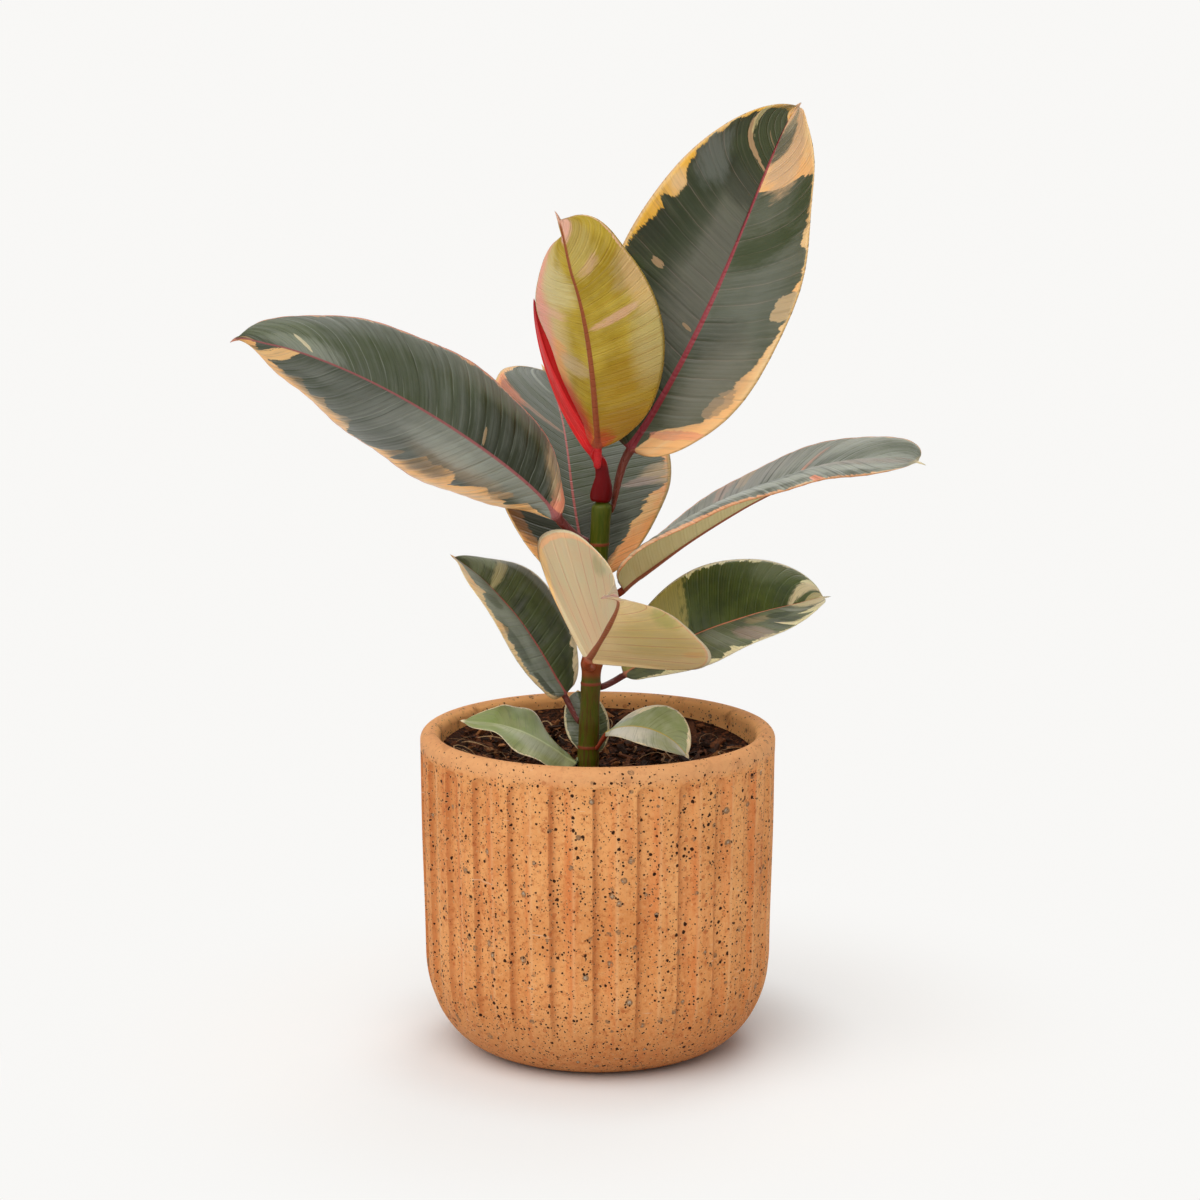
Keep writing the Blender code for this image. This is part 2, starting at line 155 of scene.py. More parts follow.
# %% A helper that mixes a finish
class Finish:
    """A finish being mixed. Most methods add one node and return its output."""

    def __init__(self, name, kind="materials"):
        self.owner = getattr(bpy.data, kind).new(name)
        self.owner.use_nodes = True
        self.tree = self.owner.node_tree
        only_link = self.tree.links[0]      # in a new tree, from the shader to the output
        self.shader, self.surface = only_link.from_node, only_link.to_socket

    def feed(self, socket, value):
        """Link a Value into a socket, or set the socket to a plain value."""
        if isinstance(value, Value):
            self.tree.links.new(value.socket, socket)
        else:
            socket.default_value = value

    def node(self, kind, inputs, output=0, **settings):
        """Add a node with these settings and inputs, and return one of its outputs."""
        node = self.tree.nodes.new("ShaderNode" + kind)
        for name, value in settings.items():
            setattr(node, name, value)
        for name, value in inputs.items():
            self.feed(node.inputs[name], value)
        return Value(self, node.outputs[output])

    def set(self, **values):
        """Feed the shader's own inputs."""
        for name, value in values.items():
            self.feed(self.shader.inputs[name.replace("_", " ")], value)

    def maths(self, operation, first, second=0.0):
        return self.node("Math", {0: first, 1: second}, operation=operation)

    def mix(self, amount, first, second):
        """A blend of two colours, from the first at 0 to the second at 1."""
        return self.node("Mix", {0: amount, 6: tint(first), 7: tint(second)}, 2, data_type="RGBA")

    def coat(self, amount, colour):
        """Lay a colour over all that has been mixed so far."""
        self.colour = self.mix(amount, self.colour, colour)
        self.set(Base_Color=self.colour)

    def curve(self, value, points):
        """A number read off a curve; both axes run from 0 to 1."""
        reading = self.node("FloatCurve", {"Value": value})
        mapping = reading.socket.node.mapping
        line = mapping.curves[0].points
        for place, point in enumerate(points):
            if place < len(line):
                line[place].location = point
            else:
                line.new(*point)
            line[place].handle_type = "VECTOR"
        mapping.update()
        return reading

    def cloud(self, vector, scale, detail=2.0, roughness=0.5):
        """Soft noise, about 0.5 on average."""
        return self.node("TexNoise", {"Vector": vector, "Scale": scale, "Detail": detail,
                                      "Roughness": roughness})

    def cells(self, vector, scale):
        """Scattered cells: the distance to a cell's middle, and two random numbers of its own."""
        distance = self.node("TexVoronoi", {"Vector": vector, "Scale": scale}, "Distance")
        return distance, *self.split(distance.other("Color"))[:2]

    def split(self, vector):
        x = self.node("SeparateXYZ", {0: vector})
        return x, x.other(1), x.other(2)

    def join(self, x, y, z=0.0):
        return self.node("CombineXYZ", {0: x, 1: y, 2: z})

    def map(self, name):
        """The place on one of the piece's UV maps."""
        return self.split(self.node("UVMap", {}, uv_map=name))[:2]

    def tag(self, name):
        """A number that the piece's mesh carries."""
        return self.node("Attribute", {}, "Fac", attribute_name=name)

    def place(self, *stretch):
        """The place on the object in millimetres, stretched along each axis."""
        scale = [value / MM for value in stretch or (1.0, 1.0, 1.0)]
        return self.node("Mapping", {"Vector": self.node("TexCoord", {}, "Object"), "Scale": scale})

    def from_axis(self):
        """The distance from the pot's axis in millimetres."""
        x, y, _ = self.split(self.place())
        return self.maths("SQRT", x * x + y * y)

    def bump(self, height, depth):
        """Raise the surface by the height, depth millimetres from 0 to 1."""
        self.set(Normal=self.node("Bump", {"Distance": depth * MM, "Height": height}))

    def let_light_in(self, red, green, blue):
        """Let some light in below the surface, each colour to its own share of 2 mm."""
        self.set(Subsurface_Weight=0.12, Subsurface_Radius=(red, green, blue), Subsurface_Scale=2.0 * MM)


def finish_object(name, bm, finish):
    """Make a bmesh an object with that finish."""
    mesh = bpy.data.meshes.new(name)
    bm.to_mesh(mesh)
    bm.free()
    mesh.materials.append(finish.owner)
    return put_in_scene(name, mesh)


print("a finish can be mixed from", len([name for name in dir(Finish) if name[0] != "_"]), "moves")

# %% [markdown]
# ## A plain studio
#
# The plant stands on a pale paper floor. A broad soft lamp at the front left, a weaker one
# behind to the right and an even sky together make a white card look white, so colours render
# about as they are written. Beyond the plant's shadow the paper fades into a plain colour that
# only the camera and mirrors see, and the sky shows them the same, so no horizon is in sight.

# %% Light the studio
PAPER = (0.944, 0.936, 0.920, 1.0)
# painted shade round the pot: the paper's colour made darker and cooler there, against the orange light
# bounced off the pot
PAINTED_SHADE_NEAR_POT = (0.935, 0.962, 0.99)  # what the light off the pot leaves of the paper's colour
SKY_STRENGTH = 0.36
KEY_STRENGTH = 1.85
RIM_STRENGTH = 0.55
SHADOW_CORE = (75.0, 130.0)      # distances from the pot's middle, in mm
SHADOW_SHARE = 0.58              # how much of the paper's shade is gone outside the core
SHADOW_REACH = (110.0, 270.0)


def show_paper(mixer, kind, amount=1.0):
    """Show camera, mirror and glass rays the plain paper colour instead."""
    camera = mixer.node("LightPath", {}, "Is Camera Ray")
    seen = mixer.maths("MAXIMUM", camera, camera.other("Is Glossy Ray"))
    seen = mixer.maths("MAXIMUM", seen, camera.other("Is Transmission Ray"))
    shaders = {1: Value(mixer, mixer.shader.outputs[0]), 2: mixer.node(kind, {"Color": PAPER})}
    mixer.feed(mixer.surface, mixer.node("MixShader", {0: seen * amount, **shaders}))


def light_sky():
    """An even sky, which the camera sees as pale paper."""
    sky = Finish("studio", "worlds")
    sky.set(Color=(1.0, 0.99, 0.97, 1.0), Strength=SKY_STRENGTH)
    show_paper(sky, "Background")
    bpy.context.scene.world = sky.owner


def hang_lamp(name, azimuth, elevation, strength, softness, colour):
    """A far lamp, with azimuth 0 in front and 90 on the right; returns its light on the floor."""
    lamp = bpy.data.lights.new(name, "SUN")
    lamp.energy = strength
    lamp.angle = math.radians(softness)
    lamp.color = colour
    a, e = math.radians(azimuth), math.radians(elevation)
    towards = Vector((math.sin(a) * math.cos(e), -math.cos(a) * math.cos(e), math.sin(e)))
    put_in_scene(name, lamp).rotation_euler = towards.to_track_quat("Z", "Y").to_euler()
    return strength * math.sin(e) / math.pi


def lay_paper(light):
    """A round sheet that catches the shadow, carries painted shade round the pot, and fades into the
    background colour.
    """
    def shade(*shares):
        return (*[value / light * share for value, share in zip(PAPER, shares)], 1.0)

    bm = bmesh.new()
    bmesh.ops.create_circle(bm, cap_ends=True, segments=96, radius=3.0)
    bmesh.ops.translate(bm, verts=bm.verts, vec=(0.0, 0.0, -0.2 * MM))
    paper = Finish("paper")
    distance = paper.from_axis()
    paper.colour = paper.mix(paper.cloud(paper.place(), 0.6, 3.0), shade(1, 1, 1), shade(*[0.998] * 3))
    # painted shade: near the pot the paper is darker and cooler
    paper.coat(distance.step(170.0, 85.0), shade(*PAINTED_SHADE_NEAR_POT))
    paper.set(Roughness=1.0, Specular_IOR_Level=0.0)
    fade = distance.step(*SHADOW_CORE) * SHADOW_SHARE + distance.step(*SHADOW_REACH) * (1 - SHADOW_SHARE)
    show_paper(paper, "Emission", fade)
    finish_object("paper", bm, paper)


bpy.context.scene.view_settings.view_transform = "Standard"
light_sky()
floor_light = SKY_STRENGTH
floor_light += hang_lamp("key lamp", -31, 54, KEY_STRENGTH, 70, (1.0, 0.985, 0.96))
floor_light += hang_lamp("rim lamp", 160, 50, RIM_STRENGTH, 30, (1.0, 0.99, 0.97))
lay_paper(floor_light)
print("light on the floor", round(floor_light, 2))

# %% [markdown]
# ## Finished pieces
#
# Every piece is shaped in a bmesh in millimetres, with its object at the origin. The last step is always the
# same: shrink to metres, take the finish, shade smooth unless told not to, hang the piece on the body it
# rides on, and hide the CAD node it replaces.

# %% Hand over a finished piece
def hand_over(name, bm, finish, node, smooth_faces=True):
    """Make the bmesh a piece of the plant that replaces a CAD node."""
    bmesh.ops.scale(bm, vec=(MM, MM, MM), verts=bm.verts)
    piece = finish_object(name, bm, finish)
    if smooth_faces:
        piece.data.shade_smooth()
    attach(piece, "root")
    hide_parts(node)
    print(name, "has", sum(len(face.vertices) - 2 for face in piece.data.polygons), "triangles")


def turn_outwards(bm):
    """Point every face of a closed body out."""
    bmesh.ops.recalc_face_normals(bm, faces=bm.faces)
    if bm.calc_volume(signed=True) < 0:
        bmesh.ops.reverse_faces(bm, faces=bm.faces)


def smooth(value, low, high):
    """0 below low, 1 above high, and an even S between them."""
    x = min(max((value - low) / (high - low), 0.0), 1.0)
    return x * x * (3 - 2 * x)


def arc(centre, radii, start, end, steps):
    """Points on an ellipse, from the start to the end angle in degrees."""
    angles = [math.radians(blend(i / steps, start, end)) for i in range(steps + 1)]
    return [(centre[0] + radii[0] * math.cos(a), centre[1] + radii[1] * math.sin(a)) for a in angles]


def rise(start, end, steps):
    """Evenly spaced points from start towards end, without either of them."""
    return [[blend(i / steps, a, b) for a, b in zip(start, end)] for i in range(1, steps)]


def turned(profile, columns):
    """A closed turned body from a profile that starts and ends on the axis."""
    bm = bmesh.new()
    verts = [bm.verts.new((r, 0.0, z)) for r, z in profile]
    edges = [bm.edges.new(pair) for pair in zip(verts, verts[1:])]
    bmesh.ops.spin(bm, geom=verts + edges, axis=UP, cent=(0, 0, 0), angle=math.tau,
                   steps=columns, use_merge=True, use_duplicate=False)
    bmesh.ops.remove_doubles(bm, verts=bm.verts, dist=0.001)
    turn_outwards(bm)
    return bm


# %% [markdown]
# ## The pot
#
# The pot is thrown clay with a rounded foot and a plain round lip. Its 26 flutes each have an
# arched head, one crisp edge and one soft shoulder, and die away on the foot. The section is
# spun round the axis, and the flutes are pressed in afterwards, because their depth is a simple
# function of angle and height. Columns are crowded at each crisp edge so that it stays crisp.

# %% Throw the pot
POT_RADIUS_LOW = 78.2
POT_BASE_RADIUS = 47.0
POT_BELLY_HEIGHT = 43.5
POT_WAIST_HEIGHT = 86.0
POT_WALL = 8.8
POT_FLOOR = 10.0
CAVITY_RADIUS_TOP = POT_RADIUS - POT_WALL
CAVITY_RADIUS_LOW = 69.0
CAVITY_CORNER = 30.0
CAVITY_CORNER_HEIGHT = POT_FLOOR + CAVITY_CORNER
FLUTES = 26
FLUTE_FIRST_EDGE = math.radians(-91.7)   # where the first flute's crisp edge stands
FLUTE_DEPTH = 1.9
FLUTE_HALF = 0.28                        # half a flute's width as part of the pitch
FLUTE_HEAD = 4.6                         # height of the arched head
FLUTE_TOP = 136.8
CRISP_EDGE = 2.0
CRISP_HEAD = 1.2
SOFT_SHOULDER = 5.0
FLUTE_FADE = (12, 34)                    # heights between which a flute dies away
FLUTE_UNEVEN = 0.9                       # how far a head may stand higher or lower, in mm
FLUTE_DRIFT = 0.035                      # how far a flute strays sideways, as part of the pitch
HEAD_ROUNDNESS = 2.6                     # 2 would make the head an ellipse
COLUMNS_PER_FLUTE = 18
COLUMN_PULL = 0.12                       # how strongly columns are drawn to the crisp edges
WALL_WOBBLE = 0.25                       # what the thrower's hands leave, in mm
PITCH = math.tau * POT_RADIUS / FLUTES


def pot_section():
    """Underside, rounded foot, wall, lip, then down the inside to the floor."""
    lip = POT_WALL / 2
    lip_height = POT_HEIGHT - lip
    foot_width = POT_RADIUS_LOW - POT_BASE_RADIUS
    outside = arc((POT_BASE_RADIUS, POT_BELLY_HEIGHT), (foot_width, POT_BELLY_HEIGHT), -90, 0, 34)
    low, high = outside[-1], (POT_RADIUS, lip_height)
    waist = ((low[0] + high[0]) / 2, POT_WAIST_HEIGHT)
    wall = rise(low, waist, 22) + [waist] + rise(waist, high, 54)
    rim = arc((POT_RADIUS - lip, lip_height), (lip, lip), 0, 180, 16)
    inside = rise((CAVITY_RADIUS_TOP, lip_height), (CAVITY_RADIUS_LOW, CAVITY_CORNER_HEIGHT), 14)
    corner = arc((CAVITY_RADIUS_LOW - CAVITY_CORNER, CAVITY_CORNER_HEIGHT),
                 (CAVITY_CORNER, CAVITY_CORNER), 0, -90, 8)
    return [(0, 0), (20, 0)] + outside + wall + rim + inside + corner + [(0, POT_FLOOR)]


def flute_phase(angle):
    """How far round an angle is from the first crisp edge, in flutes."""
    return (angle - FLUTE_FIRST_EDGE) / math.tau * FLUTES


def flute_depth(angle, height):
    """How far the wall is pressed in here, in mm."""
    phase = flute_phase(angle)
    number = round(phase - FLUTE_HALF)
    top = FLUTE_TOP + FLUTE_UNEVEN * noise.noise(Vector((number * 3.7, 5.1, 0.0)))
    head = max(0.0, (height - (top - FLUTE_HEAD)) / FLUTE_HEAD)
    if head >= 1:
        return 0.0
    span = (1 - head ** HEAD_ROUNDNESS) ** (1 / HEAD_ROUNDNESS)
    drift = FLUTE_DRIFT * noise.noise(Vector((number * 2.3, height / 22, 1.0)))
    across = (phase - FLUTE_HALF - number + drift) / FLUTE_HALF
    if abs(across) >= span:
        return 0.0
    from_edge = (span + across) * FLUTE_HALF * PITCH
    from_shoulder = (span - across) * FLUTE_HALF * PITCH
    deep = smooth(from_edge, 0, CRISP_EDGE) * smooth(from_shoulder, 0, SOFT_SHOULDER)
    deep *= smooth(top - height, 0, CRISP_HEAD)
    return FLUTE_DEPTH * deep * smooth(height, *FLUTE_FADE)


def crowd_columns(angle):
    """Shift an evenly spaced angle so that more of them stand by each crisp edge."""
    phase = flute_phase(angle)
    return angle - COLUMN_PULL * math.sin(math.tau * (phase - 0.02)) * math.tau / FLUTES


def throw_pot():
    bm = turned(pot_section(), FLUTES * COLUMNS_PER_FLUTE)
    wall = bm.loops.layers.uv.new("wall")
    for vert in [vert for vert in bm.verts if math.hypot(vert.co.x, vert.co.y) >= 1]:
        radius = math.hypot(vert.co.x, vert.co.y)
        angle = crowd_columns(math.atan2(vert.co.y, vert.co.x))
        if radius > CAVITY_RADIUS_TOP + 1 or vert.co.z < POT_FLOOR - 1:
            radius -= flute_depth(angle, vert.co.z)
        wobble = noise.noise(Vector((math.cos(angle) * 2, math.sin(angle) * 2, vert.co.z / 40)))
        radius += WALL_WOBBLE * wobble * smooth(vert.co.z, 5, 40)
        vert.co.x, vert.co.y = radius * math.cos(angle), radius * math.sin(angle)
    for face in bm.faces:
        middle = face.calc_center_median()
        near = math.atan2(middle.y, middle.x)
        for loop in face.loops:
            angle = math.atan2(loop.vert.co.y, loop.vert.co.x)
            angle += math.tau * round((near - angle) / math.tau)
            loop[wall].uv = (flute_phase(angle), loop.vert.co.z / POT_HEIGHT)
    return bm


# %% [markdown]
# The clay is pale pinkish tan and full of grit: dark pits and holes, their darkness painted shade and each
# pit ringed with a painted highlight, grey pebbles with light middles, rusty specks and pale scratches. Each
# kind of speck is a scatter of cells. A cell shows its speck if one random number is high enough, and a
# second one sets the speck's size.

# %% Mix the clay
def specks(finish, vector, crowd, spacing, radius, share):
    """A mask of round specks of many sizes, more of them where the crowd value is high."""
    distance, chosen, size = finish.cells(vector, 1.0 / spacing)
    chosen = chosen + (crowd - 0.5) * 0.4
    reach = chosen.step(0.99 - share, 1.01 - share) * (0.45 + size * 0.55)
    return (reach * (radius / spacing) - distance).step(-0.02, 0.03)


def paint_flute_shade_and_highlight(clay, rain, height, phase):
    """Paint shade along each flute's crisp edge and a highlight on its pale crest, and warm the shoulder
    below the crest.
    """
    across = clay.maths("FRACT", phase)
    in_flute = height.step(0.94, 0.92) * height.step(0.12, 0.25)
    # painted shade inside each crisp edge
    edge = across.step(0.22, 0.02) * across.step(-0.02, 0.02)
    clay.coat(edge * in_flute * 0.5, (176, 98, 54))
    # painted highlight on each flute's crest
    crest = across.step(0.50, 0.56) * across.step(0.64, 0.57)
    clay.coat(crest * in_flute * 0.45, (240, 186, 132))
    shoulder = across.step(0.30, 0.46) * across.step(0.60, 0.52)
    clay.coat(shoulder * in_flute * rain.step(0.38, 0.60) * 0.55, (220, 124, 66))


def add_grit(clay, fine, height):
    """Sprinkle every kind of speck on, and return the masks of those that press in."""
    place = clay.place()
    warp = clay.cloud(place, 0.9).other("Color")
    grit = clay.node("VectorMath", {0: warp, 1: (0.9, 0.9, 0.9), 2: place}, operation="MULTIPLY_ADD")
    crowd = clay.cloud(place, 0.05) - height.step(0.957, 0.972) * 1.5
    masks = {}
    # the pits' and holes' dark colours are painted shade in their hollows, and the light ring round each pit
    # is a painted highlight on its rim
    for kind, spacing, radius, share, strength, colour in (
            ("rust", 4.4, 1.3, 0.5, 0.45, (172, 82, 40)),
            ("pebble", 7.6, 1.8, 0.80, fine.step(0.36, 0.54), (142, 108, 78)),
            ("pebble's heart", 7.6, 0.9, 0.80, fine.step(0.49, 0.55), (186, 168, 146)),
            ("dust", 1.5, 0.36, 1.0, 0.85, (116, 62, 34)),
            ("pit_rim_highlight", 1.95, 0.80, 0.88, 0.4, (240, 188, 132)),
            ("pit", 1.95, 0.55, 0.88, 0.96, (58, 24, 10)),
            ("hole", 3.9, 0.84, 0.66, 0.97, (40, 18, 8))):
        masks[kind] = specks(clay, grit, crowd, spacing, radius, share)
        clay.coat(masks[kind] * strength, colour)
    return masks["pit"], masks["hole"]


def mix_clay():
    clay = Finish("speckled clay")
    broad = clay.cloud(clay.place(), 0.022, 4.0, 0.55)
    fine = clay.cloud(clay.place(), 0.45, 6.0, 0.7)
    rain = clay.cloud(clay.place(1.0, 1.0, 0.10), 0.16, 4.0, 0.6)
    phase, height = clay.map("wall")
    clay.colour = clay.mix(broad.step(0.30, 0.70), (243, 174, 110), (220, 145, 84))
    clay.coat(rain.step(0.50, 0.70) * 0.45, (206, 108, 56))
    clay.coat(fine.step(0.50, 0.72) * 0.40, (236, 184, 130))
    clay.coat(fine.step(0.49, 0.34) * 0.6, (178, 98, 52))
    paint_flute_shade_and_highlight(clay, rain, height, phase)
    # painted shade: the clay darker towards the foot
    clay.coat((height + (broad - 0.5) * 0.15).step(0.34, 0.02) * 0.55, (166, 100, 56))
    lip = height.step(0.935, 0.965)
    clay.coat(lip * 0.6, (236, 176, 124))
    inside = clay.from_axis().step(CAVITY_RADIUS_TOP + 3, CAVITY_RADIUS_TOP + 1) * height.step(0.6, 0.7)
    clay.coat(inside * 0.8, (255, 190, 122))
    smudge = clay.cloud(clay.place(1.0, 1.0, 0.6), 0.11, 5.0, 0.65).step(0.52, 0.66)
    clay.coat(smudge * (lip * (0.25 + inside * 0.3)), (150, 84, 44))
    pits, holes = add_grit(clay, fine, height)
    scratch = clay.cloud(clay.place(0.25, 0.25, 2.6), 0.30, 2.0, 0.4)
    clay.coat(scratch.step(0.74, 0.77) * 0.45, (242, 214, 184))
    clay.set(Roughness=blend(fine, 0.62, 0.86), Specular_IOR_Level=0.12)
    clay.bump(fine * 0.5 - (pits * 0.8 + holes), 0.8)
    return clay


hand_over("pot_visual", throw_pot(), mix_clay(), "pot")

# %% [markdown]
# ## The potting mix
#
# The compost is one rough dish that fills the pot, banked up at the back. On it lie hundreds of
# bark chips, each a bevelled cube pulled out of true, and pale curved fibres. They are joined
# into two pieces, since a particle system's copies would be lost when the model is exported.

# %% Fill the pot
SOIL_CENTRE_HEIGHT = 125.0
SOIL_RISE = 9.0
SOIL_RISE_BACK = 4.5
SOIL_RISE_LEFT = 1.5
WALL_GAP = 0.3
CRUMBS = ((8.0, 1.8), (3.1, 1.5))       # the compost's coarse and fine lumps: size, height
CHIPS = 1100
CHIP_LENGTHS = (2.0, 9.0)
CHIP_BEVEL = 0.13                       # both are parts of the chip's size
CHIP_TEAR = 0.13
FIBRES = 120
FIBRE_LENGTHS = (6.0, 22.0)


def soil_height(x, y):
    """The compost's plain top: a dish that climbs most steeply towards the back."""
    radius = math.hypot(x, y)
    if radius < 1.0:
        return SOIL_CENTRE_HEIGHT
    climb = SOIL_RISE + SOIL_RISE_BACK * y / radius - SOIL_RISE_LEFT * x / radius
    return SOIL_CENTRE_HEIGHT + climb * (radius / CAVITY_RADIUS_TOP) ** 2


def fill_pot():
    """The compost: a turned body with a rough top."""
    corner = CAVITY_CORNER - WALL_GAP
    low = CAVITY_RADIUS_LOW - WALL_GAP
    foot = arc((low - corner, POT_FLOOR + WALL_GAP + corner), (corner, corner), -90, 0, 6)
    top = [(low + 2.0 - low * i / 60, SOIL_CENTRE_HEIGHT) for i in range(60)]
    bm = turned([(0, POT_FLOOR + WALL_GAP)] + foot + top + [(0, SOIL_CENTRE_HEIGHT)], 180)
    for vert in bm.verts:
        if vert.co.z > SOIL_CENTRE_HEIGHT - 0.1:
            place = Vector((vert.co.x, vert.co.y, 0.0))
            rough = sum(height * noise.noise(place / size) for size, height in CRUMBS)
            edge = smooth(place.length, CAVITY_RADIUS_TOP - 0.5, CAVITY_RADIUS_TOP - 6)
            vert.co.z = soil_height(vert.co.x, vert.co.y) + rough * edge
    return bm


def mix_compost():
    compost = Finish("dark compost")
    crumbs = compost.cloud(compost.place(), 0.5, 6.0, 0.7)
    distance, pick, _ = compost.cells(compost.place(), 0.6)
    compost.colour = compost.mix(crumbs.step(0.35, 0.75), (30, 15, 8), (96, 54, 30))
    compost.coat(pick.step(0.82, 0.90) * 0.7, (128, 74, 44))
    compost.set(Roughness=0.9, Specular_IOR_Level=0.15)
    compost.bump(crumbs - distance, 1.2)
    return compost


hand_over("potting_mix_visual", fill_pot(), mix_compost(), "potting_mix")

# %% [markdown]
# A chip's own number, carried by the mesh as the value "tone", picks its brown, so neighbours
# differ although they all share one finish.

# %% Scatter bark and fibres
def newest(bm, before):
    """The vertices that were added since there were that many."""
    bm.verts.ensure_lookup_table()
    return bm.verts[before:]


def add_rod(bm, segments, depth, cuts):
    """A closed rod of radius 1 along Z, with cuts across it so that it can be bent."""
    made = bmesh.ops.create_cone(bm, cap_ends=True, segments=segments, radius1=1, radius2=1, depth=depth)
    lengthwise = [edge for edge in {edge for vert in made["verts"] for edge in vert.link_edges}
                  if abs(edge.verts[0].co.z - edge.verts[1].co.z) > 1]
    bmesh.ops.subdivide_edges(bm, edges=lengthwise, cuts=cuts)


def landing(dice, least, reach):
    """A random place within reach of the axis, spread evenly over the area."""
    reach *= math.sqrt(dice.uniform(least, 1.0))
    heading = dice.uniform(0, math.tau)
    return reach * math.cos(heading), reach * math.sin(heading)


def add_chip(bm, tone, dice):
    """One chip of bark: a bevelled cube, torn out of true and dropped on the compost."""
    before = len(bm.verts)
    made = bmesh.ops.create_cube(bm, size=1.0)["verts"]
    edges = list({edge for vert in made for edge in vert.link_edges})
    bmesh.ops.bevel(bm, geom=edges, offset=CHIP_BEVEL, offset_type="OFFSET", affect="EDGES", segments=1,
                    profile=0.5, material=-1)
    length = blend(dice.random() ** 2.6, *CHIP_LENGTHS)
    size = (length, length * dice.uniform(0.2, 0.55), length * dice.uniform(0.10, 0.28))
    x, y = landing(dice, 0.01, CAVITY_RADIUS_TOP - 0.6 * length - 0.5)
    lean = Vector((dice.gauss(0, 0.45), dice.gauss(0, 0.45), 1.0)).to_track_quat("Z", "Y")
    spin = Matrix.Rotation(dice.uniform(0, math.tau), 3, "Z")
    drop = Vector((x, y, soil_height(x, y) + dice.uniform(0.0, 1.8)))
    bend = dice.uniform(-0.8, 0.8)
    value = dice.random()
    for vert in newest(bm, before):
        torn = vert.co + Vector([dice.uniform(-CHIP_TEAR, CHIP_TEAR) for _ in range(3)])
        torn.z += bend * torn.x * torn.x
        torn.y *= 1 - 0.5 * torn.x
        vert.co = lean @ (spin @ (torn * Vector(size))) + drop
        vert[tone] = value


def add_fibre(bm, tone, dice):
    """One pale fibre: a thin tapering tube, bent as it lies."""
    before = len(bm.verts)
    add_rod(bm, 4, 2, 5)
    length = dice.uniform(*FIBRE_LENGTHS)
    width = 0.15 + 0.5 * dice.random() ** 2
    start = Vector((*landing(dice, 0.03, CAVITY_RADIUS_TOP - 4), 0.0))
    way = dice.uniform(0, math.tau)
    bend = dice.uniform(-2.2, 2.2)
    hump = dice.uniform(0.3, 3.0)
    tilt = dice.uniform(-0.6, 1.2)
    value = dice.random()
    limit = CAVITY_RADIUS_TOP - 1.5
    for vert in newest(bm, before):
        along = vert.co.z / 2
        angle = way + bend * along
        taper = width * (1 - 1.2 * along * along)
        place = start + Vector((math.cos(angle), math.sin(angle), 0.0)) * (along * length)
        if place.length > limit:
            place = place * (limit / place.length)
        sideways = Vector((-math.sin(angle), math.cos(angle), 0.0))
        lift = soil_height(place.x, place.y) + 1.4 + hump * (1 - 4 * along * along) + tilt * along
        vert.co = place + sideways * (vert.co.x * taper) + UP * (lift + vert.co.y * taper * 0.5)
        vert[tone] = value


def scatter(add_one, count, seed):
    """Many loose bits in one mesh, each with its own tone."""
    bm = bmesh.new()
    tone = bm.verts.layers.float.new("tone")
    dice = random.Random(seed)
    for _ in range(count):
        add_one(bm, tone, dice)
    bmesh.ops.recalc_face_normals(bm, faces=bm.faces)
    return bm


def mix_bark():
    bark = Finish("bark")
    tone = bark.tag("tone")
    grain = bark.cloud(bark.place(1.0, 1.0, 3.0), 0.8, 5.0, 0.65)
    bark.colour = bark.mix(tone.step(0.25, 0.70), (44, 24, 12), (116, 68, 40))
    bark.coat(tone.step(0.78, 0.97), (176, 118, 72))
    bark.coat(grain.step(0.45, 0.70) * 0.7, (26, 14, 8))
    bark.set(Roughness=0.85, Specular_IOR_Level=0.2)
    bark.bump(grain, 0.6)
    return bark


def mix_fibre():
    fibre = Finish("coir fibre")
    streak = fibre.cloud(fibre.place(), 0.9, 3.0)
    fibre.colour = fibre.mix(fibre.tag("tone"), (124, 82, 50), (200, 164, 116))
    fibre.coat(streak.step(0.4, 0.7) * 0.5, (104, 68, 42))
    fibre.set(Roughness=0.8)
    fibre.bump(streak, 0.2)
    return fibre


hand_over("bark_chips", scatter(add_chip, CHIPS, 4), mix_bark(), "potting_mix",
          smooth_faces=False)
hand_over("fibres", scatter(add_fibre, FIBRES, 9), mix_fibre(), "potting_mix")

# %% [markdown]
# ## The stem
#
# The stem is one soft green shoot as thick as a pencil, a little thicker where a leaf joins it.
# Fine raised rings run round it, the scars of the sheaths that once wrapped each new leaf. A
# rod with many rings is laid on the stem's curve, and a ring's radius comes from its height.

# %% Grow the stem
STEM_FOOT_HEIGHT = 99.3
STEM_LINE = [(-4.4, 0, 128), (-3.6, 0, 165), (-0.6, 0, 212), (2.0, 0, 248)]
STEM_RADIUS = 4.3
STEM_FOOT_RADIUS = 4.75
STEM_RINGS = 260
# Each swelling's height, how far it stands out, and half its length
JOINTS = [(height, 0.20, 3.0) for height in (130.5, 147.5, 163.5, 174.0, 203.5, 244.0)]
KNUCKLE = (174.5, 0.6, 2.4)     # the thick joint under the front leaf
SCARS = [(height, 0.25, 0.6) for height in (136.5, 165.6, 229.0)]


def bezier(points, t):
    """The point at t, from 0 to 1, on a cubic curve."""
    a, b, c, d = (Vector(p) for p in points)
    s = 1.0 - t
    return a * s ** 3 + b * (3 * s * s * t) + c * (3 * s * t * t) + d * t ** 3


def bezier_direction(points, t):
    """The direction in which that curve runs at t."""
    a, b, c, d = (Vector(p) for p in points)
    s = 1.0 - t
    return ((b - a) * (s * s) + (c - b) * (2 * s * t) + (d - c) * (t * t)).normalized()


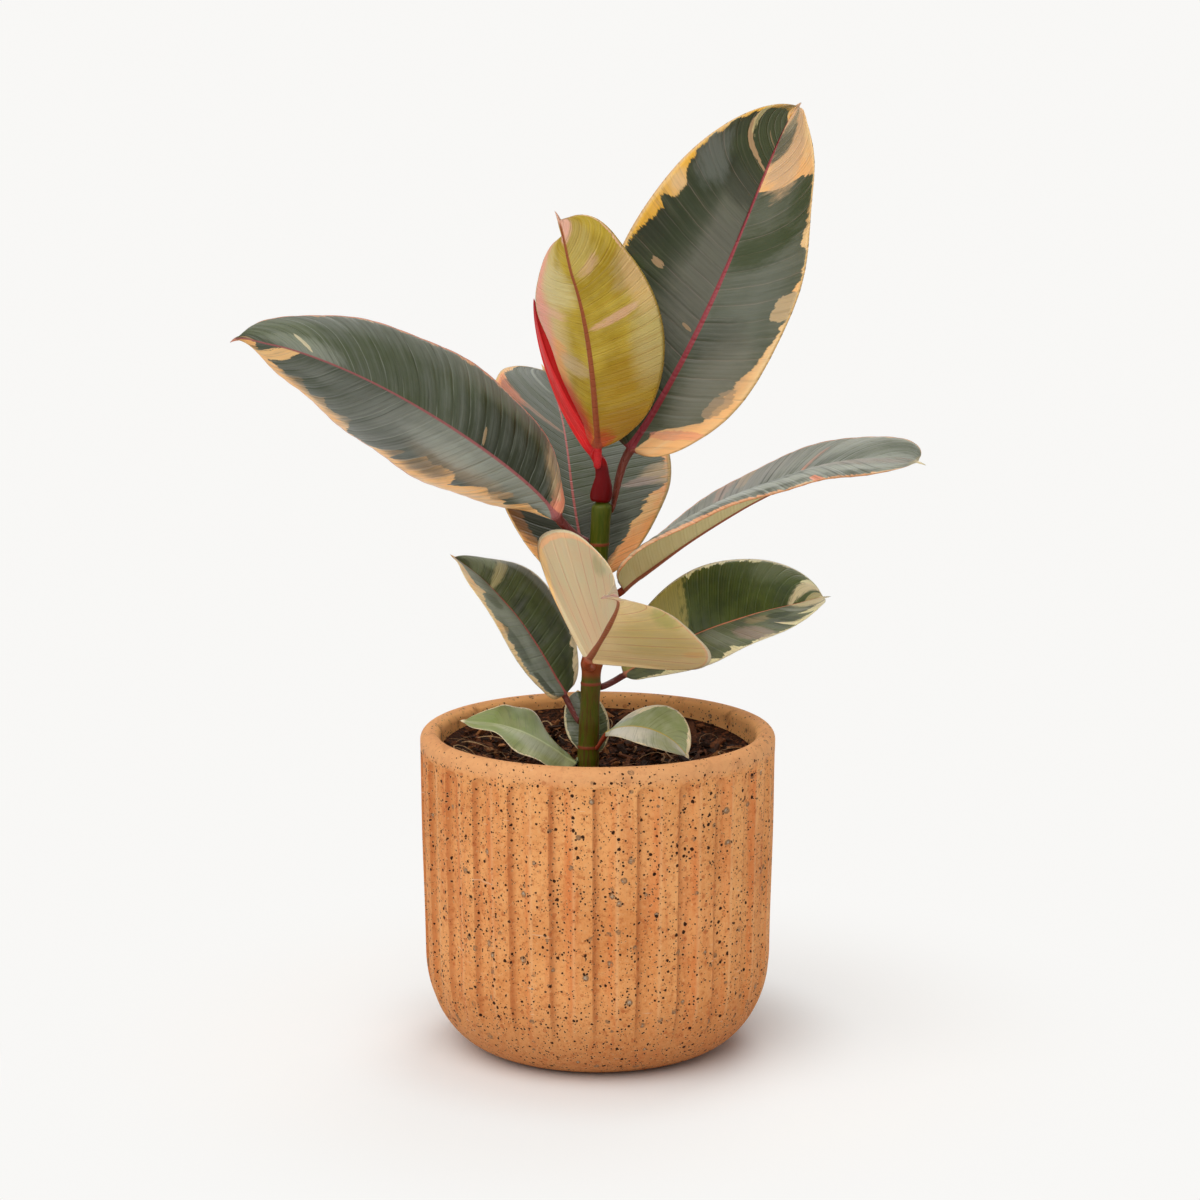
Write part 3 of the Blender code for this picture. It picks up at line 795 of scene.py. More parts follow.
def stem_centre(height):
    """The stem's centre at this height, found by halving the curve's range."""
    if height < STEM_LINE[0][2]:
        return Vector((STEM_LINE[0][0], STEM_LINE[0][1], height))
    low, high = 0.0, 1.0
    for _ in range(24):
        middle = (low + high) / 2
        if bezier(STEM_LINE, middle).z < height:
            low = middle
        else:
            high = middle
    return bezier(STEM_LINE, low)


def stem_radius(height):
    """The plain stem: stoutest where it leaves the mix."""
    return blend(smooth(height, 130, 160), STEM_FOOT_RADIUS, STEM_RADIUS)


def stem_swelling(height):
    """What the joints and the scars add to it."""
    return sum(out * math.exp(-((height - middle) / half) ** 2)
               for middle, out, half in (*JOINTS, KNUCKLE, *SCARS))


def grow_stem():
    bm = bmesh.new()
    add_rod(bm, 40, STEM_RINGS, STEM_RINGS - 1)
    top = STEM_LINE[-1][2]
    for vert in bm.verts:
        share = vert.co.z / STEM_RINGS + 0.5
        height = blend(share, STEM_FOOT_HEIGHT, top)
        radius = stem_radius(height) + stem_swelling(height)
        radius += 0.12 * noise.noise(Vector((vert.co.x * 2, vert.co.y * 2, height / 5)))
        radius *= 1 - 0.35 * smooth(share, 0.985, 1.0)
        centre = stem_centre(height)
        vert.co = (centre.x + vert.co.x * radius, centre.y + vert.co.y * radius, height)
    turn_outwards(bm)
    return bm


def mix_stem():
    stem = Finish("green stem")
    height = stem.split(stem.place())[2]
    streaks = stem.cloud(stem.place(1.0, 1.0, 0.10), 0.9, 4.0, 0.6)
    stem.colour = stem.mix(streaks.step(0.35, 0.70), (74, 82, 4), (124, 110, 30))
    stem.coat(height.step(200.0, 235.0) * 0.6, (58, 76, 0))
    stem.coat(height.step(215.0, 140.0) * streaks.step(0.40, 0.60) * 0.85, (76, 44, 16))
    rings = 0.0
    for scar, _, _ in SCARS:
        rings = stem.maths("MAXIMUM", rings, abs(height - scar).step(1.0, 0.35))
    stem.coat(rings * 0.75, (148, 62, 46))
    stem.coat(height.step(167.0, 171.0) * height.step(180.5, 177.5) * 0.85, (158, 72, 38))
    stem.set(Roughness=blend(streaks, 0.38, 0.55), Specular_IOR_Level=0.22)
    stem.bump(streaks, 0.15)
    return stem


hand_over("stem_visual", grow_stem(), mix_stem(), "stem")

# %% [markdown]
# ## Leaves
#
# A rubber plant's leaf is a thick waxy blade on a short round stalk. All eleven are made in the
# same way, from a few values each. The midrib is a cubic curve. Each half of the blade folds up
# at the midrib by one angle and curls further by another, and both change evenly from base to
# tip. The mesh is a flat grid, one way from the stalk's foot to the tip and the other once round
# the leaf's section, which is pressed flat where the stalk becomes a blade. The veins, the waves
# and the rib are shaped in the mesh as well.
#
# Places on a leaf are u, from 0 at the blade's base to 1 at its tip, and v, from -1 at the left
# margin to 1 at the right one. The mesh carries them as the UV map "blade".

# %% Describe the leaves
#   foot      where the stalk meets the stem: height on the stem, compass heading from +X
#   seat, leaving    in place of foot: where a stalk starts off the stem, and its direction
#   midrib    four control points of the midrib's curve, from the blade's base to its tip
#   drip      how far the drip tip hangs away from that curve
#   face, roll    the way the upper face looks, and how far it turns (degrees) at base and tip
#   half      the greatest width of the left and of the right half
#   outline   how blunt the blade is towards its base and towards its tip
#   ends      how far each half reaches along the midrib, where it isn't all the way
#   left, right   for each half: (fold, curl) in degrees at the base, then at the tip
#   slant     how much the side veins lean, next to other leaves
#   ribs, relief  how many side veins each half has, and how deep they are pressed in
#   wave      how far the margin waves up and down, and how many times
LEAVES = {
    "leaf_young_top": dict(
        seat=(-0.1, -4.4, 265), leaving=(0, -1, 0), stalk=1.7,
        midrib=[(0.1, -5.9, 273.5), (-1.8, -17.8, 295.7), (-1.7, -27, 338.9), (-19.3, -21.9, 369)],
        drip=(1, 0.1, 9), face=(0, 1, 0.1), roll=(-10, 18), half=(35.7, 38.2), outline=(0.54, 0.42),
        left=((9, 26), (4, 20)), right=((43, 35), (51, 30)),
        ends=(1, 0.955), slant=0.55, ribs=30, relief=0.12, wave=(0.4, 2.5)),
    "leaf_upper_right": dict(
        foot=(244.5, 20), stalk=2.0,
        midrib=[(14.4, 6.8, 270.1), (61.6, 22.8, 339.8), (77.2, 37.8, 408.3), (91.6, 63.6, 419.6)],
        drip=(0.6, -0.1, 1.3), face=(0, -1, 0.1), roll=(-5, -10), half=(46.7, 47.7), outline=(0.57, 1.02),
        left=((2, 0), (22, 22)), right=((24, 12), (43, 33)),
        ribs=26, relief=0.16, wave=(0.6, 3.5)),
    "leaf_upper_left": dict(
        foot=(229.5, 178), stalk=2.1,
        midrib=[(-18, -1.5, 241.7), (-34.7, -8.7, 270.7), (-138.6, -31.8, 337.5), (-165.6, -13.2, 317.8)],
        drip=(5.3, 0.3, 2.7), face=(0, -0.6, 0.8), roll=(-51, -59), half=(53, 32.6), outline=(0.88, 1.24),
        left=((-29, -36), (-27, -42)), right=((0, -69), (-2, -58)),
        ribs=27, relief=0.42, wave=(0.6, 4.5)),
    "leaf_back": dict(
        foot=(202.0, 100), stalk=2.1,
        midrib=[(-3.5, 12.4, 209.4), (-16.5, 38.5, 251.7), (-10.2, 79, 270.8), (-26.8, 116, 295.6)],
        drip=(0, 0, 0), face=(0, -1, 0.4), roll=(11, 29), half=(42.3, 47.4), outline=(0.46, 0.42),
        left=((11, 4), (18, 4)), right=((19, 3), (8, -10)),
        ribs=26, relief=0.16, wave=(0.8, 3.0)),
    "leaf_right_long": dict(
        foot=(204.5, -5), stalk=1.7,
        midrib=[(11.4, -6.7, 209.3), (46.2, -0.4, 235.2), (107.9, 2.1, 279), (141.3, -28.6, 267.9)],
        drip=(1.4, 0.7, 0.7), face=(0, -0.2, 1), roll=(-27, -3), half=(34.5, 34.4), outline=(0.28, 0.50),
        left=((18, 0), (19, 0)), right=((73, -92), (8, -51)),
        ribs=26, relief=0.40, wave=(0.5, 3.5)),
    "leaf_right_lower": dict(
        foot=(163.5, 15), stalk=1.5,
        midrib=[(12.1, 10.9, 167.1), (43, 18.4, 187.4), (75.8, 24.1, 194.8), (106.9, 29.6, 198.4)],
        drip=(-0.9, 0.1, 1.1), face=(0, -0.6, 0.8), roll=(3, -32), half=(30.1, 30.8), outline=(0.65, 0.44),
        left=((46, 0), (26, 0)), right=((14, 0), (8, 0)),
        ribs=24, relief=0.14, wave=(0.6, 2.5)),
    "leaf_left_lower": dict(
        foot=(147.5, 160), stalk=1.4,
        midrib=[(-15.1, 11.2, 157.7), (-38.1, 7.8, 204), (-52.4, 18.9, 207.6), (-64.6, 23.9, 219.1)],
        drip=(-2, -0.2, 0.8), face=(0, -0.8, 0.6), roll=(17, 43), half=(26.6, 25), outline=(0.47, 0.57),
        left=((26, 0), (28, 0)), right=((19, -24), (18, -22)),
        ribs=20, relief=0.14, wave=(0.4, 2.0)),
    "leaf_front": dict(
        foot=(174.0, 268), stalk=2.0,
        midrib=[(-3.8, -22.3, 181.2), (-3.2, -23.2, 182.3), (17.3, -50.9, 218.7), (5.2, -120.2, 226.7)],
        drip=(-3.7, -4, 1.1), face=(0.5, 0.1, 1), roll=(-10, -11), half=(53.8, 60.8), outline=(0.44, 1.51),
        left=((34, 0), (31, 0)), right=((37, 0), (38, 0)),
        ribs=13, relief=0.16, wave=(0.6, 2.5)),
    "leaf_small_left": dict(
        foot=(130.5, 200), stalk=1.3,
        midrib=[(-10.5, -3, 128.8), (-33.3, -6.9, 147.5), (-41.1, -6.9, 146.4), (-53.3, -4.4, 149.3)],
        drip=(-8.5, -0.3, 0.1), face=(0, -0.6, 0.8), roll=(22, 9), half=(17.7, 18.8), outline=(0.48, 0.79),
        left=((-6, 0), (24, 0)), right=((-19, 0), (22, 0)),
        ribs=14, relief=0.05, wave=(1.3, 2.2)),
    "leaf_small_right": dict(
        foot=(136.5, 318), stalk=1.2,
        midrib=[(4.3, -5.2, 143.4), (10.7, -9.7, 150.1), (31.6, -17.5, 150.5), (40.4, -22.9, 136.1)],
        drip=(0.1, -0.1, -0.1), face=(0, -0.5, 0.8), roll=(-24, 10), half=(16.2, 14.1), outline=(0.76, 0.81),
        left=((-1, 0), (18, 0)), right=((6, 0), (15, 0)),
        ribs=12, relief=0.12, wave=(0.3, 2.0)),
    "leaf_small_back": dict(
        foot=(128.8, 92), stalk=1.2,
        midrib=[(-4.4, 10.5, 131), (-2, 13.5, 142), (-9, 16, 154), (-9, 15, 159)],
        drip=(0, 0, 0), face=(0, -1, 0.1), roll=(2, -1), half=(10, 10), outline=(0.42, 0.64),
        left=((11, 0), (10, 0)), right=((10, 0), (10, 0)),
        ribs=10, relief=0.10, wave=(0.2, 2.0)),
}

BUD_SHEATH = dict(
    seat=(1.2, 0, 248.3), leaving=(0.072, 0, 0.997), stalk=2.9, swell=1.8,
    midrib=[(0, 1, 267), (-10.5, 18, 275), (-27.5, 31, 305), (-28.5, 32, 335)],
    drip=(0, 0, 0), face=(1, -0.6, 0), roll=(0, 0), half=(8, 8), outline=(0.7, 0.9),
    left=((35, 40), (30, 30)), right=((35, 40), (30, 30)),
    ribs=10, relief=0.05, wave=(0.1, 2.0))

for seed, leaf in enumerate([*LEAVES.values(), BUD_SHEATH], start=1):
    leaf["seed"] = seed     # makes the uneven spots and the noise each leaf's own
print(len(LEAVES), "leaves and one bud")

# %% [markdown]
# Side veins slant towards the tip, more so near the tip, so the vein through a place left the
# midrib at a smaller u. The same function serves the mesh, for the grooves, and the finishes,
# for the colours.

# %% Shape a blade
LEAF_THICKNESS = 0.5
DRIP_START = 0.8
DRIP_TIP = 0.965
DRIP_HALF = 1.1               # half the drip tip's width where it starts
TIP_RADIUS = 0.22
TIP_CAP = 0.3                 # how far the closed end stands out past the last ring
RIB_HEIGHT = 0.62             # the rib's height at the base, next to the stalk's radius
RIB_TAPER = 0.85              # how much of it is gone at the tip
RIB_HALF = 1.7                # half the rib's width, next to its height
RIB_ABOVE = 0.22              # how much of the rib shows on the upper face
STALK_LEAD = 0.8
STALK_TAIL = 0.4
STALK_END = 0.08
STALK_RINGS = 12
RING_SPACING = 0.8
RING_CROWDING = 0.15          # how much closer rings stand at the base and the tip
COLUMNS = 22                  # columns from the midrib to the margin
AROUND = 4 * COLUMNS          # columns once round the leaf's section
FOOT_U = -0.2                 # u at the foot of the stalk
COLUMN_CROWDING = 1.35        # how much closer columns stand at the midrib
SLANT = (0.045, 0.21)         # the side veins' slant at the base, and its growth with u squared


def half_width(leaf, u, right):
    """The width of the blade's left or right half at u, drip tip and all."""
    toward_base, toward_tip = leaf["outline"]
    x = min(u / (DRIP_TIP * leaf.get("ends", (1, 1))[right]), 1.0)
    widest = toward_base / (toward_base + toward_tip)
    greatest = widest ** toward_base * (1 - widest) ** toward_tip
    plain = leaf["half"][right] * x ** toward_base * (1 - x) ** toward_tip / greatest
    drip = DRIP_HALF * smooth(u, DRIP_START, 0.96) * min(1.0, max(0.0, 1 - u) / 0.05) ** 0.8
    return max(plain, drip)


def blade_frame(leaf, u):
    """The midrib's point at u, the way to its right and the way the upper face looks."""
    along = bezier_direction(leaf["midrib"], u)
    face = Vector(leaf["face"])
    face = (face - along * face.dot(along)).normalized()
    side = along.cross(face)
    roll = math.radians(blend(u, *leaf["roll"]))
    turned_face = face * math.cos(roll) + side * math.sin(roll)
    turned_side = side * math.cos(roll) - face * math.sin(roll)
    hang = Vector(leaf["drip"]) * smooth(u, DRIP_START, 1.0)
    return bezier(leaf["midrib"], u) + hang, turned_side, turned_face


def blade_offset(leaf, u, v, width):
    """Where the blade lies at v, as side and face distances, and the way it faces there."""
    at_base, at_tip = leaf["left"] if v < 0 else leaf["right"]
    fold, curl = (math.radians(blend(u, *angles)) for angles in zip(at_base, at_tip))
    curl = curl or 0.001
    turn = fold + curl * abs(v)
    hand = -1.0 if v < 0 else 1.0
    sideways = hand * width * (math.sin(turn) - math.sin(fold)) / curl
    raised = width * (math.cos(fold) - math.cos(turn)) / curl
    return sideways, raised, -hand * math.sin(turn), math.cos(turn)


def stalk_start(leaf):
    """The stalk's foot: its centre, the way it leaves, and the way its upper side looks."""
    if "seat" in leaf:
        leaving = Vector(leaf["leaving"]).normalized()
        face = Vector(leaf["face"])
        return Vector(leaf["seat"]), leaving, (face - leaving * face.dot(leaving)).normalized()
    height, heading = leaf["foot"]
    outward = Vector((math.cos(math.radians(heading)), math.sin(math.radians(heading)), 0.0))
    return stem_centre(height) + outward * (stem_radius(height) + WALL_GAP), outward, UP


def stalk_frame(leaf, t):
    """The stalk's centre and directions at t, easing from its foot to the blade."""
    base, base_side, base_face = blade_frame(leaf, 0.0)
    along = bezier_direction(leaf["midrib"], 0.0)
    foot, leaving, foot_face = stalk_start(leaf)
    length = (base - foot).length
    lead = leaving * (STALK_LEAD * leaf["stalk"])
    path = [foot, foot + lead, base - along * (length * STALK_TAIL), base]
    side = leaving.cross(foot_face).lerp(base_side, t).normalized()
    face = foot_face.lerp(base_face, t).normalized()
    return bezier(path, t), side, face


def swelling(leaf, t):
    """How much stouter a bud is than its stalk at t."""
    return leaf.get("swell", 0.0) * math.sin(math.pi * min(0.25 + 1.25 * t, 1.0))


def vein_place(leaf, u, v):
    """The u at which the side vein through u, v leaves the midrib."""
    return u - (SLANT[0] + SLANT[1] * u * u) * leaf.get("slant", 1.0) * abs(v)


def blade_relief(leaf, u, v, width):
    """How far the blade stands off its plain shape at u, v."""
    inside = smooth(u, 0.0, 0.06) * smooth(u, 1.0, 0.9)
    pillow = abs(math.sin(math.pi * vein_place(leaf, u, v) * leaf["ribs"])) ** 0.7 - 0.6
    pillow *= leaf["relief"] * smooth(abs(v), 0.02, 0.14) * (1 - 0.45 * v * v)
    height, count = leaf["wave"]
    hand = 1.7 if v < 0 else 0.0
    wave = height * math.sin(math.tau * count * u + leaf["seed"] + hand) * abs(v) ** 2.5
    uneven = 0.5 * noise.noise(Vector((u * 5, v * 1.6, leaf["seed"] * 3.1)))
    return (pillow + wave + uneven * min(width / 30, 1.0)) * inside


def column_place(column):
    """A column's angle round the leaf's section, and the v and the side that it lies on."""
    angle = math.pi * column / (2 * COLUMNS)
    upper = column <= 2 * COLUMNS
    even = 1 - column / COLUMNS if upper else column / COLUMNS - 3
    return angle, math.copysign(abs(even) ** COLUMN_CROWDING, even), (1.0 if upper else -1.0)


def stalk_row(leaf, t, radius):
    """One ring of the stalk."""
    centre, side, face = stalk_frame(leaf, t)
    angles = [column_place(column)[0] for column in range(AROUND + 1)]
    return [centre + (side * math.cos(a) + face * math.sin(a)) * radius for a in angles]


def blade_row(leaf, u):
    """One ring of the blade: round where it leaves the stalk, then flat with a rib below."""
    centre, side, face = blade_frame(leaf, u)
    flat = smooth(u, 0.0, STALK_END)
    stalk = leaf["stalk"]
    round_part = (1.0 - flat) * stalk
    rib = stalk * (1 - RIB_TAPER * u) * RIB_HEIGHT * flat
    tip = TIP_RADIUS * math.sqrt(max(0.0, 1 - u ** 30)) * flat
    row = []
    for column in range(AROUND + 1):
        angle, v, upper = column_place(column)
        width = half_width(leaf, u, v >= 0)
        sideways, raised, lean_side, lean_face = blade_offset(leaf, u, v, width)
        across = math.cos(angle) * (1 - flat) + v * flat
        rim = math.sqrt(1 - abs(v) ** 8)
        through = math.sin(angle) * (1 - flat) + upper * rim * flat
        thin = LEAF_THICKNESS / 2 * (1 - u ** 12)
        thickness = max(thin * flat, round_part) + tip * (1 - abs(v) ** 2)
        from_rib = min(abs(v) * width / (RIB_HALF * rib + 0.01), 1.0)
        swell = rib * (0.5 + 0.5 * math.cos(math.pi * from_rib))
        lift = through * thickness + (RIB_ABOVE * swell if upper > 0 else -swell)
        lift += blade_relief(leaf, u, v, width)
        upward = side * lean_side + face * lean_face
        row.append(centre + side * (sideways + (round_part + tip) * across)
                   + face * raised + upward * lift)
    return row


def leaf_rows(leaf):
    """Every ring of the leaf with its u, from a closed foot to a closed tip."""
    rows = [(FOOT_U, [stalk_frame(leaf, 0.0)[0]] * (AROUND + 1))]
    for ring in range(STALK_RINGS):
        t = ring / STALK_RINGS
        rows.append((FOOT_U * (1 - t), stalk_row(leaf, t, leaf["stalk"] + swelling(leaf, t))))
    path = [bezier(leaf["midrib"], i / 40) for i in range(41)]
    length = sum((b - a).length for a, b in zip(path, path[1:]))
    blade_rings = max(60, round(length / RING_SPACING))
    for ring in range(blade_rings + 1):
        x = ring / blade_rings
        u = RING_CROWDING * (0.5 - 0.5 * math.cos(math.pi * x)) + (1 - RING_CROWDING) * x
        rows.append((u, blade_row(leaf, u)))
    tip = blade_frame(leaf, 1.0)[0] + bezier_direction(leaf["midrib"], 1.0) * TIP_CAP
    rows.append((1.0, [tip] * (AROUND + 1)))
    return rows


def grow_leaf(leaf):
    """A flat grid gets its UV maps and is then laid on the leaf, and its seam is merged."""
    rows = leaf_rows(leaf)
    last = len(rows) - 1
    bm = bmesh.new()
    bmesh.ops.create_grid(bm, x_segments=AROUND, y_segments=last, size=1.0)
    blade = bm.loops.layers.uv.new("blade")
    reach = bm.loops.layers.uv.new("reach")
    underside = bm.loops.layers.float.new("underside")
    spot = {vert: (round((vert.co.x + 1) / 2 * AROUND), round((vert.co.y + 1) / 2 * last))
            for vert in bm.verts}
    for face in bm.faces:
        below = sum(spot[loop.vert][0] for loop in face.loops) / 4 > 2 * COLUMNS
        for loop in face.loops:
            column, ring = spot[loop.vert]
            u = rows[ring][0]
            v = column_place(column)[1]
            loop[blade].uv = (u, v)
            loop[reach].uv = (u, v * half_width(leaf, max(u, 0.0), v >= 0))
            loop[underside] = 1.0 if below else 0.0
    for vert, (column, ring) in spot.items():
        vert.co = rows[ring][1][column]
    bmesh.ops.remove_doubles(bm, verts=bm.verts, dist=0.0005)
    turn_outwards(bm)
    return bm



# %% [markdown]
# ## Leaf finishes
#
# This is a variegated plant: dark and grey greens, and a cream to salmon margin where the leaf
# has no green at all. The colours meet along the side veins, so every border is stepped like a
# flame. The finish therefore works with the u at which a vein leaves the midrib, and noise that
# is drawn out along the veins moves each border.
#
# A look says, for the left and then the right half of a leaf: its two greens and how much of the second there
# is, the border where the margin's colour begins, from point to point, and its patches, each with its middle,
# half size along and across, colour, strength and, unless it is soft, its softness, all in hundredths. The
# paler green is partly the leaf's own grey-green and partly painted sheen, and many of the grey and silver
# patches are painted sheen too. The jag says how far the border follows the veins in and out, and the rest is
# about the rib, the veins, the painted sheen and shade along them, the tip and the stalk.

# %% Name the leaf colours
# SHEEN is painted sheen; the silver grey serves both as the leaves' own silvery grey and as painted sheen.
FOREST, MOSS, LEAF_GREEN, SLATE = (36, 42, 18), (54, 66, 28), (70, 80, 48), (86, 92, 76)
SAGE, SILVER_AND_SHEEN, SHEEN, SPRING = (124, 134, 98), (164, 168, 156), (126, 130, 122), (150, 158, 108)
OLIVE, LIME, STRAW, AMBER = (164, 134, 4), (202, 174, 56), (220, 206, 150), (176, 120, 26)
ORANGE, PEACH, SALMON, PINK = (255, 170, 96), (255, 204, 136), (244, 150, 116), (240, 184, 160)
CREAM, BEIGE, TAN, MAUVE = (250, 232, 190), (206, 178, 136), (186, 152, 112), (168, 148, 136)
ROSE, SCARLET, RED_BROWN, DARK_RED = (186, 92, 88), (196, 44, 30), (146, 58, 32), (104, 36, 30)

# %% Describe each leaf's look
PLAIN = dict(
    greens=((FOREST, SLATE, 0.4), (FOREST, SLATE, 0.4)), jag=0.30, margins=(PEACH, PEACH),
    second_margin=CREAM, edge=CREAM, borders=([(0, 90), (100, 90)], [(0, 90), (100, 90)]),
    patches=([], []), rib=ROSE, rib_width=0.6, veins=SAGE, vein_strength=0.25, sheen_and_shade_streaks=(0.2, 0.4),
    pillow_sheen=0.12, shadow=FOREST, tip=(0.95, PEACH), stalk=DARK_RED,
    seen_below=False, below=BEIGE, veil=0.6, groove=0.14)   # seen_below: the veil is on top
SOFT = 90                     # a patch's softness, in hundredths, where it names none

